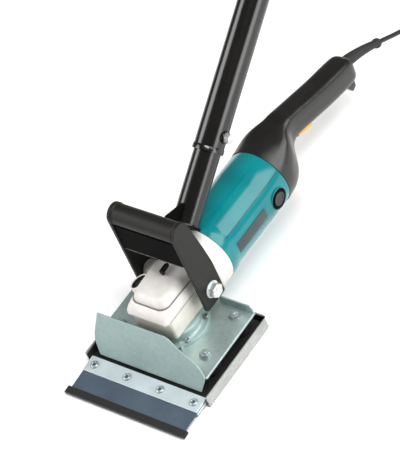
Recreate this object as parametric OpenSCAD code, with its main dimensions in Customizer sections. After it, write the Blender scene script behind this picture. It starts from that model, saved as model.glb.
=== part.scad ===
// Power scraper: an electric motor unit with a bevel gear head drives a blade carriage to and fro,
// and a yoke on the gear head carries a long pole handle.
// Millimetres. Origin on the floor under the spindle; the blade points towards -Y and +Z is up.

/* [Clearances] */
// Radial clearance of a running fit
fit_clear = 0.05; // [0.02:0.01:0.1]
// Gap left between pieces that move past each other
move_clear = 0.3; // [0.3:0.1:0.6]

/* [Blade] */
// Half of the blade's width
blade_half_w = 100; // [80:1:104]
// Length of the blade from its edge to its rear
blade_len = 64; // [60:1:70]
// Thickness of the blade
blade_t = 1.2; // [1:0.1:1.6]
// Slope of the blade above the floor
blade_angle = 4; // [3:0.5:5]
// Distance of the cutting edge in front of the base plate
blade_front = 79.5; // [78:0.5:84]
// Height of the cutting edge under the edge guard
blade_lift = 3.2; // [3:0.1:4]
// Length of the clamp strip along the blade
strip_len = 25; // [22:1:27]
// Thickness of the clamp strip
strip_t = 2.2; // [1.6:0.2:3]
// Number of clamp screws
clamp_screw_count = 4; // [3:1:5]
// Distance of the outer clamp screws from the blade's ends
clamp_edge = 13; // [10:1:20]
// Shank radius of a clamp screw
clamp_screw_r = 3; // [2.5:0.5:4]
// Head radius of a clamp screw
clamp_head_r = 6.5; // [5.5:0.5:7]
// Head height of a clamp screw
clamp_head_h = 2.4; // [2:0.2:3.4]
// Depth of the edge guard along the blade
guard_depth = 10; // [8:1:18]
// Wall of the edge guard
guard_t = 1.3; // [1:0.1:1.4]
// How far the edge guard stands past the blade at each side
guard_over = 4.5; // [2:0.5:8]

/* [Tray] */
// Half width of the tray over its side walls
tray_half_w = 107; // [105:1:115]
// Distance of the side walls' front ends in front of the spindle
tray_fore = 84; // [81:1:86]
// Distance of the rear wall behind the spindle
tray_aft = 67; // [62:1:72]
// Thickness of the tray's floor
tray_t = 3; // [2.5:0.5:4]
// Height of the tray's walls
tray_wall_h = 19; // [15:1:24]
// Thickness of the tray's walls
tray_wall_t = 2.5; // [2:0.5:4]
// Outer radius of the tray's rear corners
tray_corner_r = 9; // [6:1:14]

/* [Base plate] */
// Half width of the base plate
base_half_w = 97.5; // [92:0.5:101]
// Distance of its front edge in front of the spindle
base_fore = 63.5; // [62:0.5:68]
// Distance of its rear edge behind the spindle
base_aft = 57; // [52:1:62]
// Height of its top face
base_top = 34; // [33:0.5:36]
// Thickness of the base plate
base_t = 4; // [3:0.5:5]
// Height of the turned-up rear tabs
base_tab_h = 14; // [8:1:16]
// Thickness of the rear tabs
base_tab_t = 2.5; // [2:0.5:4]
// Half width of the gap between the rear tabs
base_tab_gap = 40; // [38:1:60]
// Radius of the hole for the drive
base_hole_r = 27; // [26:0.5:32]

/* [Deflector] */
// Thickness of the front deflector
deflector_t = 2.5; // [2:0.5:4]
// Lean of the deflector from upright
deflector_lean = 20.9; // [18:0.1:22]
// Lean of its upper lip from upright
lip_lean = 27; // [22:1:34]
// Height of its lower edge
deflector_foot = 11; // [10:0.5:14]
// Height of the crease below the lip
deflector_crease = 56; // [48:1:60]
// Height of its upper edge
deflector_top = 74; // [68:1:80]
// Half width at its lower and upper edges
deflector_half_w = 89; // [82:1:92]
// Half width at the level of the base plate
deflector_mid_w = 96.5; // [93:0.5:100]
// Width taken by the rounded upper right corner
deflector_round_w = 67; // [50:1:80]
// Height taken by the rounded upper right corner
deflector_round_h = 41; // [30:1:44]
// Thickness of the braces behind it
brace_t = 3; // [2:0.5:5]
// Height of the braces above the base plate
brace_h = 23; // [16:1:28]
// Direction of the braces from straight ahead
brace_angle = 49; // [44:1:54]

/* [Buffers] */
// Distance of the rubber buffers from the middle
buffer_x = 74; // [72:0.5:80]
// Distance of the front buffers in front of the spindle
buffer_fore = 31; // [30:1:40]
// Distance of the rear buffers behind the spindle
buffer_aft = 41; // [34:1:42]
// Radius of a rubber buffer
buffer_r = 14; // [12:0.5:15]
// Thickness of the steel cup under a buffer
cup_t = 2; // [1.5:0.5:3]
// Height of the cup's rim
cup_h = 7; // [4:0.5:9]
// Shank radius of a buffer bolt
buffer_bolt_r = 4; // [3:0.5:5]
// Depth of a buffer bolt in the rubber
buffer_bolt_depth = 12; // [8:1:16]

/* [Drive] */
// Throw of the eccentric
ecc_throw = 1.5; // [1:0.1:2]
// Radius of the eccentric journal
ecc_r = 11; // [10.5:0.5:12]
// Outer radius of the eccentric's bearing
ecc_bearing_r = 16; // [15:0.5:18]
// Width of the eccentric's bearing
ecc_bearing_w = 12; // [10:1:13]
// Height of the eccentric's lower face
ecc_foot = 8; // [7:0.5:9]
// Height of the eccentric's hub over its journal
ecc_hub_h = 12; // [10:1:12]
// Radius of the counterweight
weight_r = 24; // [20:1:25]
// Radius of the spindle's threaded end
spindle_end_r = 7; // [6:0.5:7]
// Radius of the spindle in its gear and lower bearing
spindle_r = 7.5; // [7.5:0.5:8.5]
// Radius of the spindle's upper journal
spindle_top_r = 6; // [5:0.5:7]
// Outer radius of the lower spindle bearing
low_bearing_r = 17.5; // [16:0.5:18.5]
// Width of the lower spindle bearing
low_bearing_w = 11; // [9:0.5:12]
// Outer radius of the upper needle bearing
needle_r = 10; // [9:0.5:11]
// Width of the upper needle bearing
needle_w = 12; // [10:1:14]
// Half width of the drive block
block_half_w = 34; // [30:1:40]
// Half depth of the drive block
block_half_d = 32; // [28:1:36]
// Height of the drive block
block_h = 20; // [16:1:22]

/* [Gears] */
// Gear module
gear_m = 1.8; // [1.7:0.05:1.8]
// Teeth of the pinion
pinion_teeth = 10; // [10:1:11]
// Teeth of the bevel gear
crown_teeth = 30; // [27:1:31]
// Face width of both gears
gear_face = 8; // [7:0.5:8]

/* [Gear head] */
// Height of the motor's axis
axis_h = 80; // [79:0.5:84]
// Radius of the clamping neck
neck_r = 24; // [22:0.5:25]
// Height of the collar around the neck
collar_h = 18; // [17:0.5:19]
// Radius of the collar
collar_r = 41; // [38:1:43]
// Radius of the collar's flange
collar_flange_r = 50; // [48:1:54]
// Thickness of the collar's flange
collar_flange_t = 5; // [4:0.5:7]
// Angle of the collar screws from the side
collar_screw_angle = 30; // [25:1:35]
// Half width of the lower gear case
case_half_w = 35.5; // [35:0.5:36.5]
// Wall of the lower gear case
case_wall = 4; // [3:0.5:4.5]
// Distance of the nose in front of the spindle
nose_fore = 42; // [40:1:44]
// Half width of the nose
nose_half_w = 35.5; // [34:0.5:36]
// Half width of the head at the yoke bolts
head_half_w = 36; // [35:0.5:40]
// Height of the head's top over the motor's axis
head_rise = 38; // [36:1:42]
// Height of the lower edge of the head's skirt over the motor's axis
skirt_rise = 8; // [6:0.5:10]
// Height of the head's lower shoulder over the motor's axis
shoulder_rise = 18; // [16:1:20]
// How far the head draws in from its shoulder to the crease around its top
shoulder_in = 8; // [5:0.5:9]
// Height of the crease over the motor's axis
crease_rise = 26; // [24:0.5:28]
// Distance of the yoke bolts behind the spindle
yoke_bolt_y = 37; // [35:1:40]
// Height of the yoke bolts over the motor's axis
yoke_bolt_rise = 10; // [8:0.5:12]
// Radius of the yoke bolts
yoke_bolt_r = 6; // [5:0.5:7]
// Radius of the bosses for the yoke bolts
yoke_boss_r = 12.5; // [11:0.5:14]
// Distance of these bosses' faces from the middle
yoke_boss_x = 50; // [48:0.5:51]
// Radius of the side handle's threaded hole
side_hole_r = 7; // [5:0.5:8]
// Depth of the side handle's hole
side_hole_len = 18; // [14:1:22]
// Radius of the side handle's boss
side_boss_r = 15; // [13:0.5:16]
// Distance of the side handle's boss behind the spindle
side_boss_y = 0; // [0:0.5:3]
// Lean of the side handle's boss above level
side_boss_lean = 65; // [62:1:68]

/* [Motor] */
// Distance of the motor housing's front behind the spindle
motor_fore = 92; // [90:1:96]
// Distance of the motor housing's rear behind the spindle
motor_aft = 240; // [236:1:250]
// Radius of the housing's front flare
flare_r = 51; // [50:0.5:51.5]
// Radius of the housing along the stator
waist_r = 48.5; // [47:0.5:49]
// Radius of the housing around the brushes
brush_ring_r = 49; // [48:0.5:50]
// Wall of the motor housing
motor_wall = 3.2; // [2.5:0.1:4]
// Bore radius of the stator
stator_bore_r = 27.3; // [26:0.1:30]
// Radius of the armature's core
core_r = 26.5; // [24:0.1:26.9]
// Length of the stator
stator_len = 60; // [50:1:66]
// Radius of the armature shaft
shaft_r = 6; // [5:0.5:7]
// Radius of the commutator
commutator_r = 17; // [14:0.5:20]
// Radius of the fan
fan_r = 38; // [34:0.5:38.5]
// Number of fan blades
fan_blades = 12; // [8:1:18]
// Outer radius of the front armature bearing
front_bearing_r = 16; // [14:0.5:18]
// Outer radius of the rear armature bearing
rear_bearing_r = 13; // [11:0.5:15]
// Radius of a brush cap
brush_cap_r = 10.5; // [8:0.5:11]
// Distance of the brushes behind the spindle
brush_y = 215; // [213:1:217]
// Length of the bare name plates
plate_len = 70; // [50:1:72]
// Height of the bare name plates
plate_h = 17; // [12:1:22]

/* [Rear handle] */
// Length of the rear handle
handle_len = 232; // [220:1:245]
// Half width of the grip
grip_half_w = 20; // [18:0.5:22]
// Half height of the grip
grip_half_h = 22; // [21:0.5:24]
// How far the grip rises over the motor's axis at its neck
grip_rise = 29; // [24:1:32]
// Wall of the handle's shells
shell_t = 3; // [2.5:0.1:3.5]
// Depth of the hook under the grip's end
hook_drop = 18; // [10:1:20]
// Length of the trigger
trigger_len = 46; // [38:1:48]
// Half width of the trigger
trigger_half_w = 9; // [6:0.5:10]
// How far the trigger stands out of the grip
trigger_out = 10; // [7:0.5:11]
// Radius of the trigger's pin
trigger_pin_r = 2; // [1.5:0.5:3]
// Radius of the lock button
lock_r = 5; // [4:0.5:6]

/* [Yoke] */
// Half width over the yoke's side plates
yoke_half_w = 57.3; // [57:0.1:60]
// Thickness of the side plates
yoke_t = 5; // [4:0.5:5]
// Distance of the plates' front edge behind the spindle
yoke_fore = 15; // [13:1:18]
// Distance of the plates' rear edge behind the spindle
yoke_aft = 58; // [54:1:62]
// Height of the plates' lower edge
yoke_foot = 64; // [60:1:68]
// Distance of the cross tube behind the spindle
cross_y = 27.5; // [24:0.5:30]
// Height of the cross tube
cross_z = 212.5; // [206:0.5:220]
// Radius of the cross tube
cross_r = 15; // [14.5:0.5:16]
// Wall of the cross tube
cross_wall = 3; // [2:0.5:4]
// Height of the front web's lower edge
web_foot = 157; // [150:1:165]
// Thickness of the webs and gusset
web_t = 4; // [3:0.5:6]

/* [Pole] */
// Slope of the pole above the floor
pole_angle = 34.2; // [34:0.1:35]
// Distance of the pole stub's foot behind the spindle
stub_y = 85.4; // [84:0.2:86]
// Height of the pole stub's foot
stub_z = 148.5; // [148:0.5:150]
// Outer radius of the pole stub
stub_r = 19; // [18:0.5:19.5]
// Wall of the pole stub
stub_wall = 3; // [2:0.5:4]
// Length of the pole stub
stub_len = 240; // [220:5:260]
// Length of the stub in front of the pole
stub_bare = 102; // [95:1:110]
// Wall of the pole
pole_wall = 2; // [1.5:0.5:3]
// Length of the pole
pole_len = 1080; // [800:10:1200]
// Length of the rubber hand grip
hand_grip_len = 150; // [110:5:180]
// Thickness of the rubber hand grip
hand_grip_t = 4; // [3:0.5:6]
// Distance of the clamp bolt above the pole's lower end
clamp_y = 25; // [20:1:35]
// Radius of the clamp bolt
clamp_bolt_r = 4; // [3:0.5:5]

/* [Cord] */
// Radius of the power cord
cord_r = 3.5; // [3.5:0.1:3.5]
// Length of the cord guard
cord_guard_len = 82; // [74:1:84]
// Root radius of the cord guard
cord_guard_r = 9; // [8:0.5:10]
// Slope of the cord guard below level
cord_guard_drop = 23.3; // [23.3:0.1:23.3]
// Turns in the put-away coil
coil_turns = 9; // [9:9:9]
// Mean radius of the coil's turns
coil_r = 40; // [40:1:40]

/* [Hidden] */
$fn = 64;
// Length by which a cut passes the face that it opens
overrun = 1;
// Height of a hexagon head as a share of its radius
hex_share = 0.62;
// Radius and height of a cap screw's head as a share of its shank
cap_share = 1.75;
// Small step between neighbouring shoulders
step = 1;

// Blade end of the carriage
blade_reach = base_fore + blade_front;
clamp_screw_pitch = 2 * (blade_half_w - clamp_edge) / (clamp_screw_count - 1);
strip_y = blade_len - strip_len;
seat_fore = blade_reach - strip_y * cos(blade_angle);
seat_aft = blade_reach - blade_len * cos(blade_angle);
seat_fore_z = blade_lift + strip_y * sin(blade_angle);
seat_aft_z = blade_lift + blade_len * sin(blade_angle);
clamp_screw_depth = clamp_screw_r * 1.05;

// Levels along the spindle
base_bottom = base_top - base_t;
collar_top = base_top + collar_h;
low_bearing_z = collar_top - low_bearing_w - step;
neck_foot = low_bearing_z - case_wall / 2;
gear_pitch_r = gear_m * pinion_teeth / 2;
crown_r = gear_m * crown_teeth / 2;
crown_plane = axis_h - gear_pitch_r;
tooth_up = gear_m * 0.8;
tooth_down = gear_m * 1.1;
tooth_root = gear_m * 0.6;
tooth_tip = gear_m * 0.22;
crown_back = gear_m * 4;
needle_z = axis_h + gear_pitch_r + tooth_up + move_clear;
head_top = axis_h + head_rise;
ecc_bearing_z = ecc_foot + step;
ecc_shoulder = ecc_bearing_z + ecc_bearing_w + step;
ecc_hub_r = spindle_r * 1.9;
block_pocket_x = ecc_bearing_r + ecc_throw + move_clear;
block_pocket_y = ecc_bearing_r + 2 * ecc_throw + move_clear;

// Gear head
nose_corner_r = nose_half_w * 0.17;
corner_ease = 1;
crown_in = shoulder_in * 1.3;
head_aft = crown_r * 1.78;
head_plate = motor_wall;
cone_fore = case_half_w + 2 * case_wall;
case_bore = crown_r + gear_face / 2 + 1.5 * step;
cone_aft = motor_fore * 0.72;
cone_r = flare_r * 0.72;
front_bearing_y = motor_fore * 0.67;
front_bearing_w = front_bearing_r * 0.7;
tunnel_r = gear_pitch_r + tooth_up + 1.5 * step;
pinion_y = crown_r - gear_face / 2;
side_boss_len = side_hole_len * 1.35;
side_boss_x = yoke_boss_x * 0.714;
side_boss_z = axis_h + head_rise * 0.755;
side_mouth_r = side_boss_r * 0.81;
side_mouth_len = side_hole_len / 4.5;
lock_x = -crown_r * 0.07;
lock_y = crown_r * 0.6;
lock_pin_r = shaft_r / 2;
lock_cap_r = shaft_r;
lock_cap_h = shaft_r * 1.2;
lock_travel = shaft_r * 0.67;
lock_foot = crown_plane + tooth_up + 1.6 * lock_travel;
yoke_bolt_z = axis_h + yoke_bolt_rise;
yoke_washer_t = yoke_half_w - yoke_t - yoke_boss_x - move_clear;
yoke_head_x = yoke_half_w + move_clear + yoke_washer_t;
yoke_hex_r = yoke_bolt_r * 1.83;

collar_screw_r = collar_flange_t * 0.45;

// Motor
flare_len = brush_cap_r * 0.86;
stator_y = motor_fore + fan_r * 0.74;
bulkhead_y = motor_aft - rear_bearing_r;
bulkhead_t = rear_bearing_r * 0.62;
fan_y = motor_fore + motor_wall * 2;
fan_t = fan_r * 0.27;
screw_ring_r = flare_r - 1.7 * motor_wall;
housing_screw_r = motor_wall * 0.7;
commutator_len = commutator_r * 1.06;
brush_half = motor_wall * 1.25;
brush_len = commutator_r * 0.75;
brush_x = commutator_r + move_clear;
plate_y = stator_y + stator_len / 2;
plate_t = motor_wall / 4;

// Rear handle, as shares of its length, of its rise and from grip size (0) to bell size (1)
handle_shares = [
    [0, 0, 1], [0.05, 0.06, 0.97], [0.1, 0.14, 0.88], [0.167, 0.34, 0.66], [0.21, 0.6, 0.42],
    [0.258, 0.92, 0.14], [0.314, 1.04, 0.03], [0.384, 0.95, 0], [0.517, 0.7, 0], [0.694, 0.37, 0],
    [0.871, 0.11, 0], [0.966, 0, -0.06], [1, 0, -0.3]
];
handle_sides = 32;
handle_power = 0.7;
grip_drop = 13.4;
trigger_y = motor_aft + handle_len * 0.335;
trigger_z = axis_h + grip_rise * 0.448;
trigger_skin = grip_half_h * 0.25;
trigger_nose = trigger_pin_r * 2.5;
switch_z = trigger_nose * 2.4;
switch_h = grip_half_h * 0.7;
switch_half_w = grip_half_w * 0.45;
switch_rib_shares = [0.12, 0.55];
lock_button_y = motor_aft + handle_len * 0.53;
lock_button_z = axis_h + grip_rise * 0.65;
handle_screw_r = trigger_pin_r;
handle_screw_shares = [[0.12, -0.9], [0.24, 1.35], [0.68, 0.4], [0.86, -0.25]];
guard_y = motor_aft + handle_len - grip_half_w * 0.4;
guard_z = axis_h + grip_rise * 0.24;
guard_len = cord_guard_len + grip_half_w / 2;

// Yoke and pole
yoke_inner = yoke_half_w - yoke_t;
yoke_mid_z = yoke_foot + (cross_z - yoke_foot) * 0.41;
yoke_head_r = cross_r + step;
web_y = yoke_fore - web_t / 4;
stub_plate_low = stub_r * 0.3;
stub_plate_high = stub_r * 4.1;
stub_plate_half = stub_r * 1.25;
gusset_run = stub_r * 1.4;
gusset_rise = stub_r * 1.6;
pole_r = stub_r + fit_clear + pole_wall;
pole_end = stub_bare + pole_len;
clamp_boss_r = clamp_bolt_r * 2.2;
clamp_boss_x = pole_r + clamp_bolt_r * 0.7;
clamp_hex_r = clamp_bolt_r * 1.9;

// Cord, coil and plug
cord_d = 2 * cord_r;
cord_sides = 10;
coil_sides = 6;
coil_steps = 24;
coil_pitch = 7.6;
layer_turns = coil_turns / 4;
coil_out_r = coil_r + layer_turns * coil_pitch / 2;
coil_in_r = coil_r - layer_turns * coil_pitch / 2;
coil_y = 700;
tie_t = 0.8;
tie_gap = 0.3;
tie_w = 12;
coil_z = tie_t + tie_gap + cord_r;
guard_end_y = guard_y + guard_len * cos(cord_guard_drop);
guard_end_z = guard_z - guard_len * sin(cord_guard_drop);
cord_route = [
    [0, guard_end_y, guard_end_z],
    [0, guard_end_y + cord_d * cos(cord_guard_drop), guard_end_z - cord_d * sin(cord_guard_drop)],
    [0, 572, 38.6], [0, 588, 30.2], [0, 606, 21.4], [0, 624, 14],
    [0, 642, 8.8], [0, 660, 5.8], [0, 676, 4.7], [0, 692, coil_z], [0, coil_y, coil_z]
];
coil_end_z = coil_z + 3 * coil_pitch;
tail_route = [
    [0, coil_y, coil_end_z], [0, 708, coil_end_z], [0.6, 720, 26.6], [3, 734, 23.6], [8, 748, 19.4],
    [17, 761, 15.6], [29, 769, 13.5], [42, 772, 13], [52, 772, 13]
];
plug_x = 52;
plug_y = 772;
plug_r = 13;
plug_len = 40;
plug_neck_r = 6;
plug_neck_len = 12;
pin_r = 2.4;
pin_len = 19;
pin_half = 9.5;

// Smooth step from 0 to 1
function ease(x) = let (c = min(max(x, 0), 1)) c * c * (3 - 2 * c);
// Sum of a list
function total(v, i = 0) = i < len(v) ? v[i] + total(v, i + 1) : 0;
function unit(v) = v / norm(v);
function heading(p, i) = unit(p[min(i + 1, len(p) - 1)] - p[max(i - 1, 0)]);
function ring_at(p, t, r, n) =
    let (s = unit(cross(t, [0, 0, 1])), u = cross(s, t))
    [for (k = [0 : n - 1]) p + r * (cos(360 * k / n) * s + sin(360 * k / n) * u)];
function tube_rings(p, r, n) = [for (i = [0 : len(p) - 1]) ring_at(p[i], heading(p, i), r, n)];
function coil_layer(t) = floor(min(t, coil_turns - 0.001) / layer_turns);
function coil_share(t) = t / layer_turns - coil_layer(t);
function coil_radius(t) =
    coil_layer(t) % 2 == 0
    ? coil_out_r - coil_share(t) * (coil_out_r - coil_in_r)
    : coil_in_r + coil_share(t) * (coil_out_r - coil_in_r);
function coil_level(t) =
    coil_z + coil_pitch * total([for (j = [1 : 3]) ease((t - j * layer_turns + 0.25) * 2)]);
function coil_point(t) = [
    coil_out_r - coil_radius(t) * cos(360 * t), coil_y + coil_radius(t) * sin(360 * t), coil_level(t)
];
coil_points = [for (i = [0 : coil_turns * coil_steps]) coil_point(i / coil_steps)];
coil_gap = min([
    for (i = [0 : len(coil_points) - 1])
    for (j = [i + coil_steps / 2 : len(coil_points) - 1])
    norm(coil_points[i] - coil_points[j])
]) - cord_d;
echo(coil_gap = coil_gap);

// A closed skin over a list of rings
module skin(rings) {
    n = len(rings[0]);
    m = len(rings);
    points = [for (ring = rings) each ring];
    sides = [
        for (j = [0 : m - 2]) for (i = [0 : n - 1])
        let (a = j * n + i, b = j * n + (i + 1) % n)
        each [[a, b, b + n], [a, b + n, a + n]]
    ];
    first = [for (i = [1 : n - 2]) [0, i + 1, i]];
    last = [for (i = [1 : n - 2]) [(m - 1) * n, (m - 1) * n + i, (m - 1) * n + i + 1]];
    polyhedron(points, concat(sides, first, last));
}

module along_y(y, z) {
    translate([0, y, z]) rotate([-90, 0, 0]) children();
}

module along_x(x, y, z) {
    translate([x, y, z]) rotate([0, 90, 0]) children();
}

module at_blade() {
    translate([0, -blade_reach, blade_lift]) rotate([blade_angle, 0, 0]) children();
}

module at_trigger() {
    translate([0, trigger_y, trigger_z]) rotate([-grip_drop, 0, 0]) children();
}

module at_pole() {
    translate([0, stub_y, stub_z]) rotate([pole_angle - 90, 0, 0]) children();
}

module hex(r, h) {
    cylinder(r = r, h = h, $fn = 6);
}

module tube(ro, ri, h) {
    difference() {
        cylinder(r = ro, h = h);
        translate([0, 0, -overrun]) cylinder(r = ri, h = h + 2 * overrun);
    }
}

module both_sides() {
    children();
    mirror([1, 0, 0]) children();
}

module tray_plan(inset, fore) {
    half_w = tray_half_w - inset;
    aft = tray_aft - inset;
    r = tray_corner_r - inset;
    translate([-half_w, -fore]) square([2 * half_w, fore + aft - r]);
    translate([-half_w + r, 0]) square([2 * (half_w - r), aft]);
    for (s = [-1, 1]) translate([s * (half_w - r), aft - r]) circle(r);
}

module clamp_places() {
    for (i = [0 : clamp_screw_count - 1])
        translate([(i - (clamp_screw_count - 1) / 2) * clamp_screw_pitch, strip_y + strip_len / 2, 0])
            children();
}

module buffer_places() {
    for (s = [-1, 1], y = [-buffer_fore, buffer_aft]) translate([s * buffer_x, y, 0]) children();
}

module tray() {
    color("silver") difference() {
        union() {
            linear_extrude(tray_wall_h) tray_plan(0, tray_fore);
            translate([-blade_half_w, -seat_fore, 0])
                cube([2 * blade_half_w, seat_fore - tray_fore + overrun, tray_t]);
        }
        translate([0, 0, tray_t]) linear_extrude(tray_wall_h) tray_plan(tray_wall_t, tray_fore + overrun);
    }
}

module blade_seat() {
    color("gray") difference() {
        translate([-blade_half_w, 0, 0]) rotate([90, 0, 90]) linear_extrude(2 * blade_half_w)
            polygon([[-seat_fore, tray_t], [-seat_aft, tray_t], [-seat_aft, seat_aft_z],
                [-seat_fore, seat_fore_z]]);
        at_blade() clamp_places() translate([0, 0, -clamp_screw_depth])
            cylinder(r = clamp_screw_r + fit_clear, h = clamp_screw_depth + overrun);
    }
}

module drive_block() {
    color("dimgray") difference() {
        translate([-block_half_w, -block_half_d, tray_t])
            cube([2 * block_half_w, 2 * block_half_d, block_h]);
        translate([-block_pocket_x, -block_pocket_y, tray_t + step])
            cube([2 * block_pocket_x, 2 * block_pocket_y, block_h]);
    }
}

module blade() {
    color("slategray") at_blade() difference() {
        translate([-blade_half_w, 0, 0]) cube([2 * blade_half_w, blade_len, blade_t]);
        clamp_places() translate([0, 0, -overrun])
            cylinder(r = clamp_screw_r + fit_clear, h = blade_t + 2 * overrun);
    }
}

module clamp_strip() {
    color("lightgray") at_blade() difference() {
        translate([-blade_half_w, strip_y, blade_t]) cube([2 * blade_half_w, strip_len, strip_t]);
        clamp_places() cylinder(r = clamp_screw_r + fit_clear, h = blade_t + strip_t + overrun);
    }
}

module clamp_screws() {
    color("white") at_blade() clamp_places() {
        translate([0, 0, -clamp_screw_depth])
            cylinder(r = clamp_screw_r, h = clamp_screw_depth + blade_t + strip_t);
        translate([0, 0, blade_t + strip_t]) cylinder(r = clamp_head_r, h = clamp_head_h);
    }
}

module blade_guard() {
    out = move_clear + guard_t;
    half = blade_half_w + guard_over;
    color("#2f2d2b") at_blade() difference() {
        translate([-half, -out, -out]) cube([2 * half, guard_depth + out, blade_t + 2 * out]);
        translate([-half - overrun, -move_clear, -move_clear])
            cube([2 * (half + overrun), guard_depth + move_clear + overrun, blade_t + 2 * move_clear]);
    }
}

module base_plate() {
    color("lightslategray") difference() {
        union() {
            translate([-base_half_w, -base_fore, base_bottom])
                cube([2 * base_half_w, base_fore + base_aft, base_t]);
            both_sides() translate([base_tab_gap, base_aft - base_tab_t, base_bottom])
                cube([base_half_w - base_tab_gap, base_tab_t, base_t + base_tab_h]);
        }
        translate([0, 0, base_bottom - overrun]) cylinder(r = base_hole_r, h = base_t + 2 * overrun);
        buffer_places() translate([0, 0, base_bottom - overrun])
            cylinder(r = buffer_bolt_r + fit_clear, h = base_t + 2 * overrun);
    }
}

// Rear face of the deflector at a height
function deflector_y(z) =
    z < deflector_crease
    ? -base_fore - (base_top - z) * tan(deflector_lean)
    : deflector_y(deflector_crease - fit_clear) + (z - deflector_crease) * tan(lip_lean);

module deflector() {
    front = deflector_t / cos(deflector_lean);
    levels = [deflector_foot, deflector_crease, deflector_top];
    corner_shares = [[0, 1], [0.24, 0.83], [0.44, 0.67], [0.7, 0.51], [0.88, 0.31], [0.96, 0.15], [1, 0]];
    color("#a9bdb9") intersection() {
        translate([-base_half_w, 0, 0]) rotate([90, 0, 90]) linear_extrude(2 * base_half_w) polygon([
            for (z = levels) [deflector_y(z), z],
            for (i = [2 : -1 : 0]) [deflector_y(levels[i]) - front, levels[i]]
        ]);
        translate([0, 0, 0]) rotate([90, 0, 0]) linear_extrude(2 * base_fore) polygon([
            [-deflector_half_w, deflector_foot],
            [-deflector_mid_w, base_top],
            [-deflector_half_w, deflector_top],
            for (s = corner_shares) [
                deflector_mid_w - (1 - s[0]) * deflector_round_w,
                deflector_top - (1 - s[1]) * deflector_round_h
            ],
            [deflector_half_w, deflector_foot]
        ]);
    }
}

module deflector_braces() {
    short = brace_t / 2 * tan(brace_angle) + fit_clear;
    top = base_top + brace_h;
    color("#a9bdb9") both_sides() rotate([0, 0, brace_angle - 90]) translate([0, brace_t / 2, 0])
        rotate([90, 0, 0]) linear_extrude(brace_t) polygon([
            [collar_flange_r + step, base_top],
            [-deflector_y(base_top) / cos(brace_angle) - short, base_top],
            [-deflector_y(top) / cos(brace_angle) - short, top],
            [collar_flange_r + step + brace_h / 4, top]
        ]);
}

module rubber_buffers() {
    foot = tray_t + move_clear;
    color("#222222") buffer_places() translate([0, 0, foot]) difference() {
        cylinder(r = buffer_r, h = base_bottom - foot);
        translate([0, 0, base_bottom - foot - buffer_bolt_depth])
            cylinder(r = buffer_bolt_r + fit_clear, h = buffer_bolt_depth + overrun);
    }
}

module buffer_bolts() {
    washer_t = buffer_bolt_r * 0.4;
    color("white") buffer_places() {
        translate([0, 0, base_bottom - buffer_bolt_depth + overrun])
            cylinder(r = buffer_bolt_r, h = buffer_bolt_depth + base_t);
        translate([0, 0, base_top]) cylinder(r = buffer_bolt_r * 2.2, h = washer_t);
        translate([0, 0, base_top + washer_t]) hex(buffer_bolt_r * 1.85, buffer_bolt_r * 1.85 * hex_share);
    }
}

module collar_places() {
    for (side = [0, 180], turn = [-1, 1]) rotate([0, 0, side + turn * collar_screw_angle])
        translate([(collar_r + collar_flange_r) / 2, 0, 0]) children();
}

module collar() {
    color("lightgray") difference() {
        union() {
            translate([0, 0, base_top]) cylinder(r = collar_flange_r, h = collar_flange_t);
            translate([0, 0, base_top]) cylinder(r = collar_r, h = collar_h);
        }
        translate([0, 0, base_top - overrun]) cylinder(r = neck_r + fit_clear, h = collar_h + 2 * overrun);
        collar_places() translate([0, 0, base_top - overrun])
            cylinder(r = collar_screw_r + fit_clear, h = collar_flange_t + 2 * overrun);
    }
}

module collar_screws() {
    color("#333333") collar_places() {
        translate([0, 0, base_top]) cylinder(r = collar_screw_r, h = collar_flange_t);
        translate([0, 0, base_top + collar_flange_t])
            cylinder(r = collar_screw_r * cap_share, h = collar_screw_r * cap_share);
    }
}

// Plan of the lower gear case: round corners in front, square where it meets the cone
module case_plan() {
    flat = case_half_w - nose_corner_r;
    translate([-case_half_w, -flat]) square([2 * case_half_w, flat + cone_fore]);
    translate([-flat, -case_half_w]) square([2 * flat, case_half_w]);
    for (s = [-1, 1]) translate([s * flat, -flat]) circle(nose_corner_r);
}

module lower_gear_case() {
    floor_z = collar_top + case_wall;
    color("#d9d0c2") difference() {
        union() {
            translate([0, 0, neck_foot]) cylinder(r = neck_r, h = collar_top - neck_foot + overrun);
            translate([0, 0, collar_top]) linear_extrude(axis_h - collar_top) case_plan();
        }
        translate([0, 0, floor_z]) cylinder(r = case_bore, h = axis_h);
        translate([0, 0, low_bearing_z]) cylinder(r = low_bearing_r, h = floor_z - low_bearing_z + overrun);
        translate([0, 0, neck_foot - overrun]) cylinder(r = spindle_r + step, h = axis_h);
        along_y(pinion_y - gear_face / 2, axis_h) cylinder(r = tunnel_r, h = cone_fore);
    }
}

module side_boss() {
    translate([-side_boss_x, side_boss_y, side_boss_z]) rotate([0, side_boss_lean - 90, 0]) children();
}

module housing_places() {
    for (i = [0 : 3]) rotate([0, 0, 45 + 90 * i]) translate([screw_ring_r, 0, 0]) children();
}

module head_corners(inset) {
    r = nose_corner_r + inset * corner_ease;
    for (s = [-1, 1]) {
        translate([s * (nose_half_w - inset - r), -nose_fore + inset + r]) circle(r, $fn = 32);
        translate([s * (head_half_w - inset - r), head_aft - inset - r]) circle(r, $fn = 32);
    }
}

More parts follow.
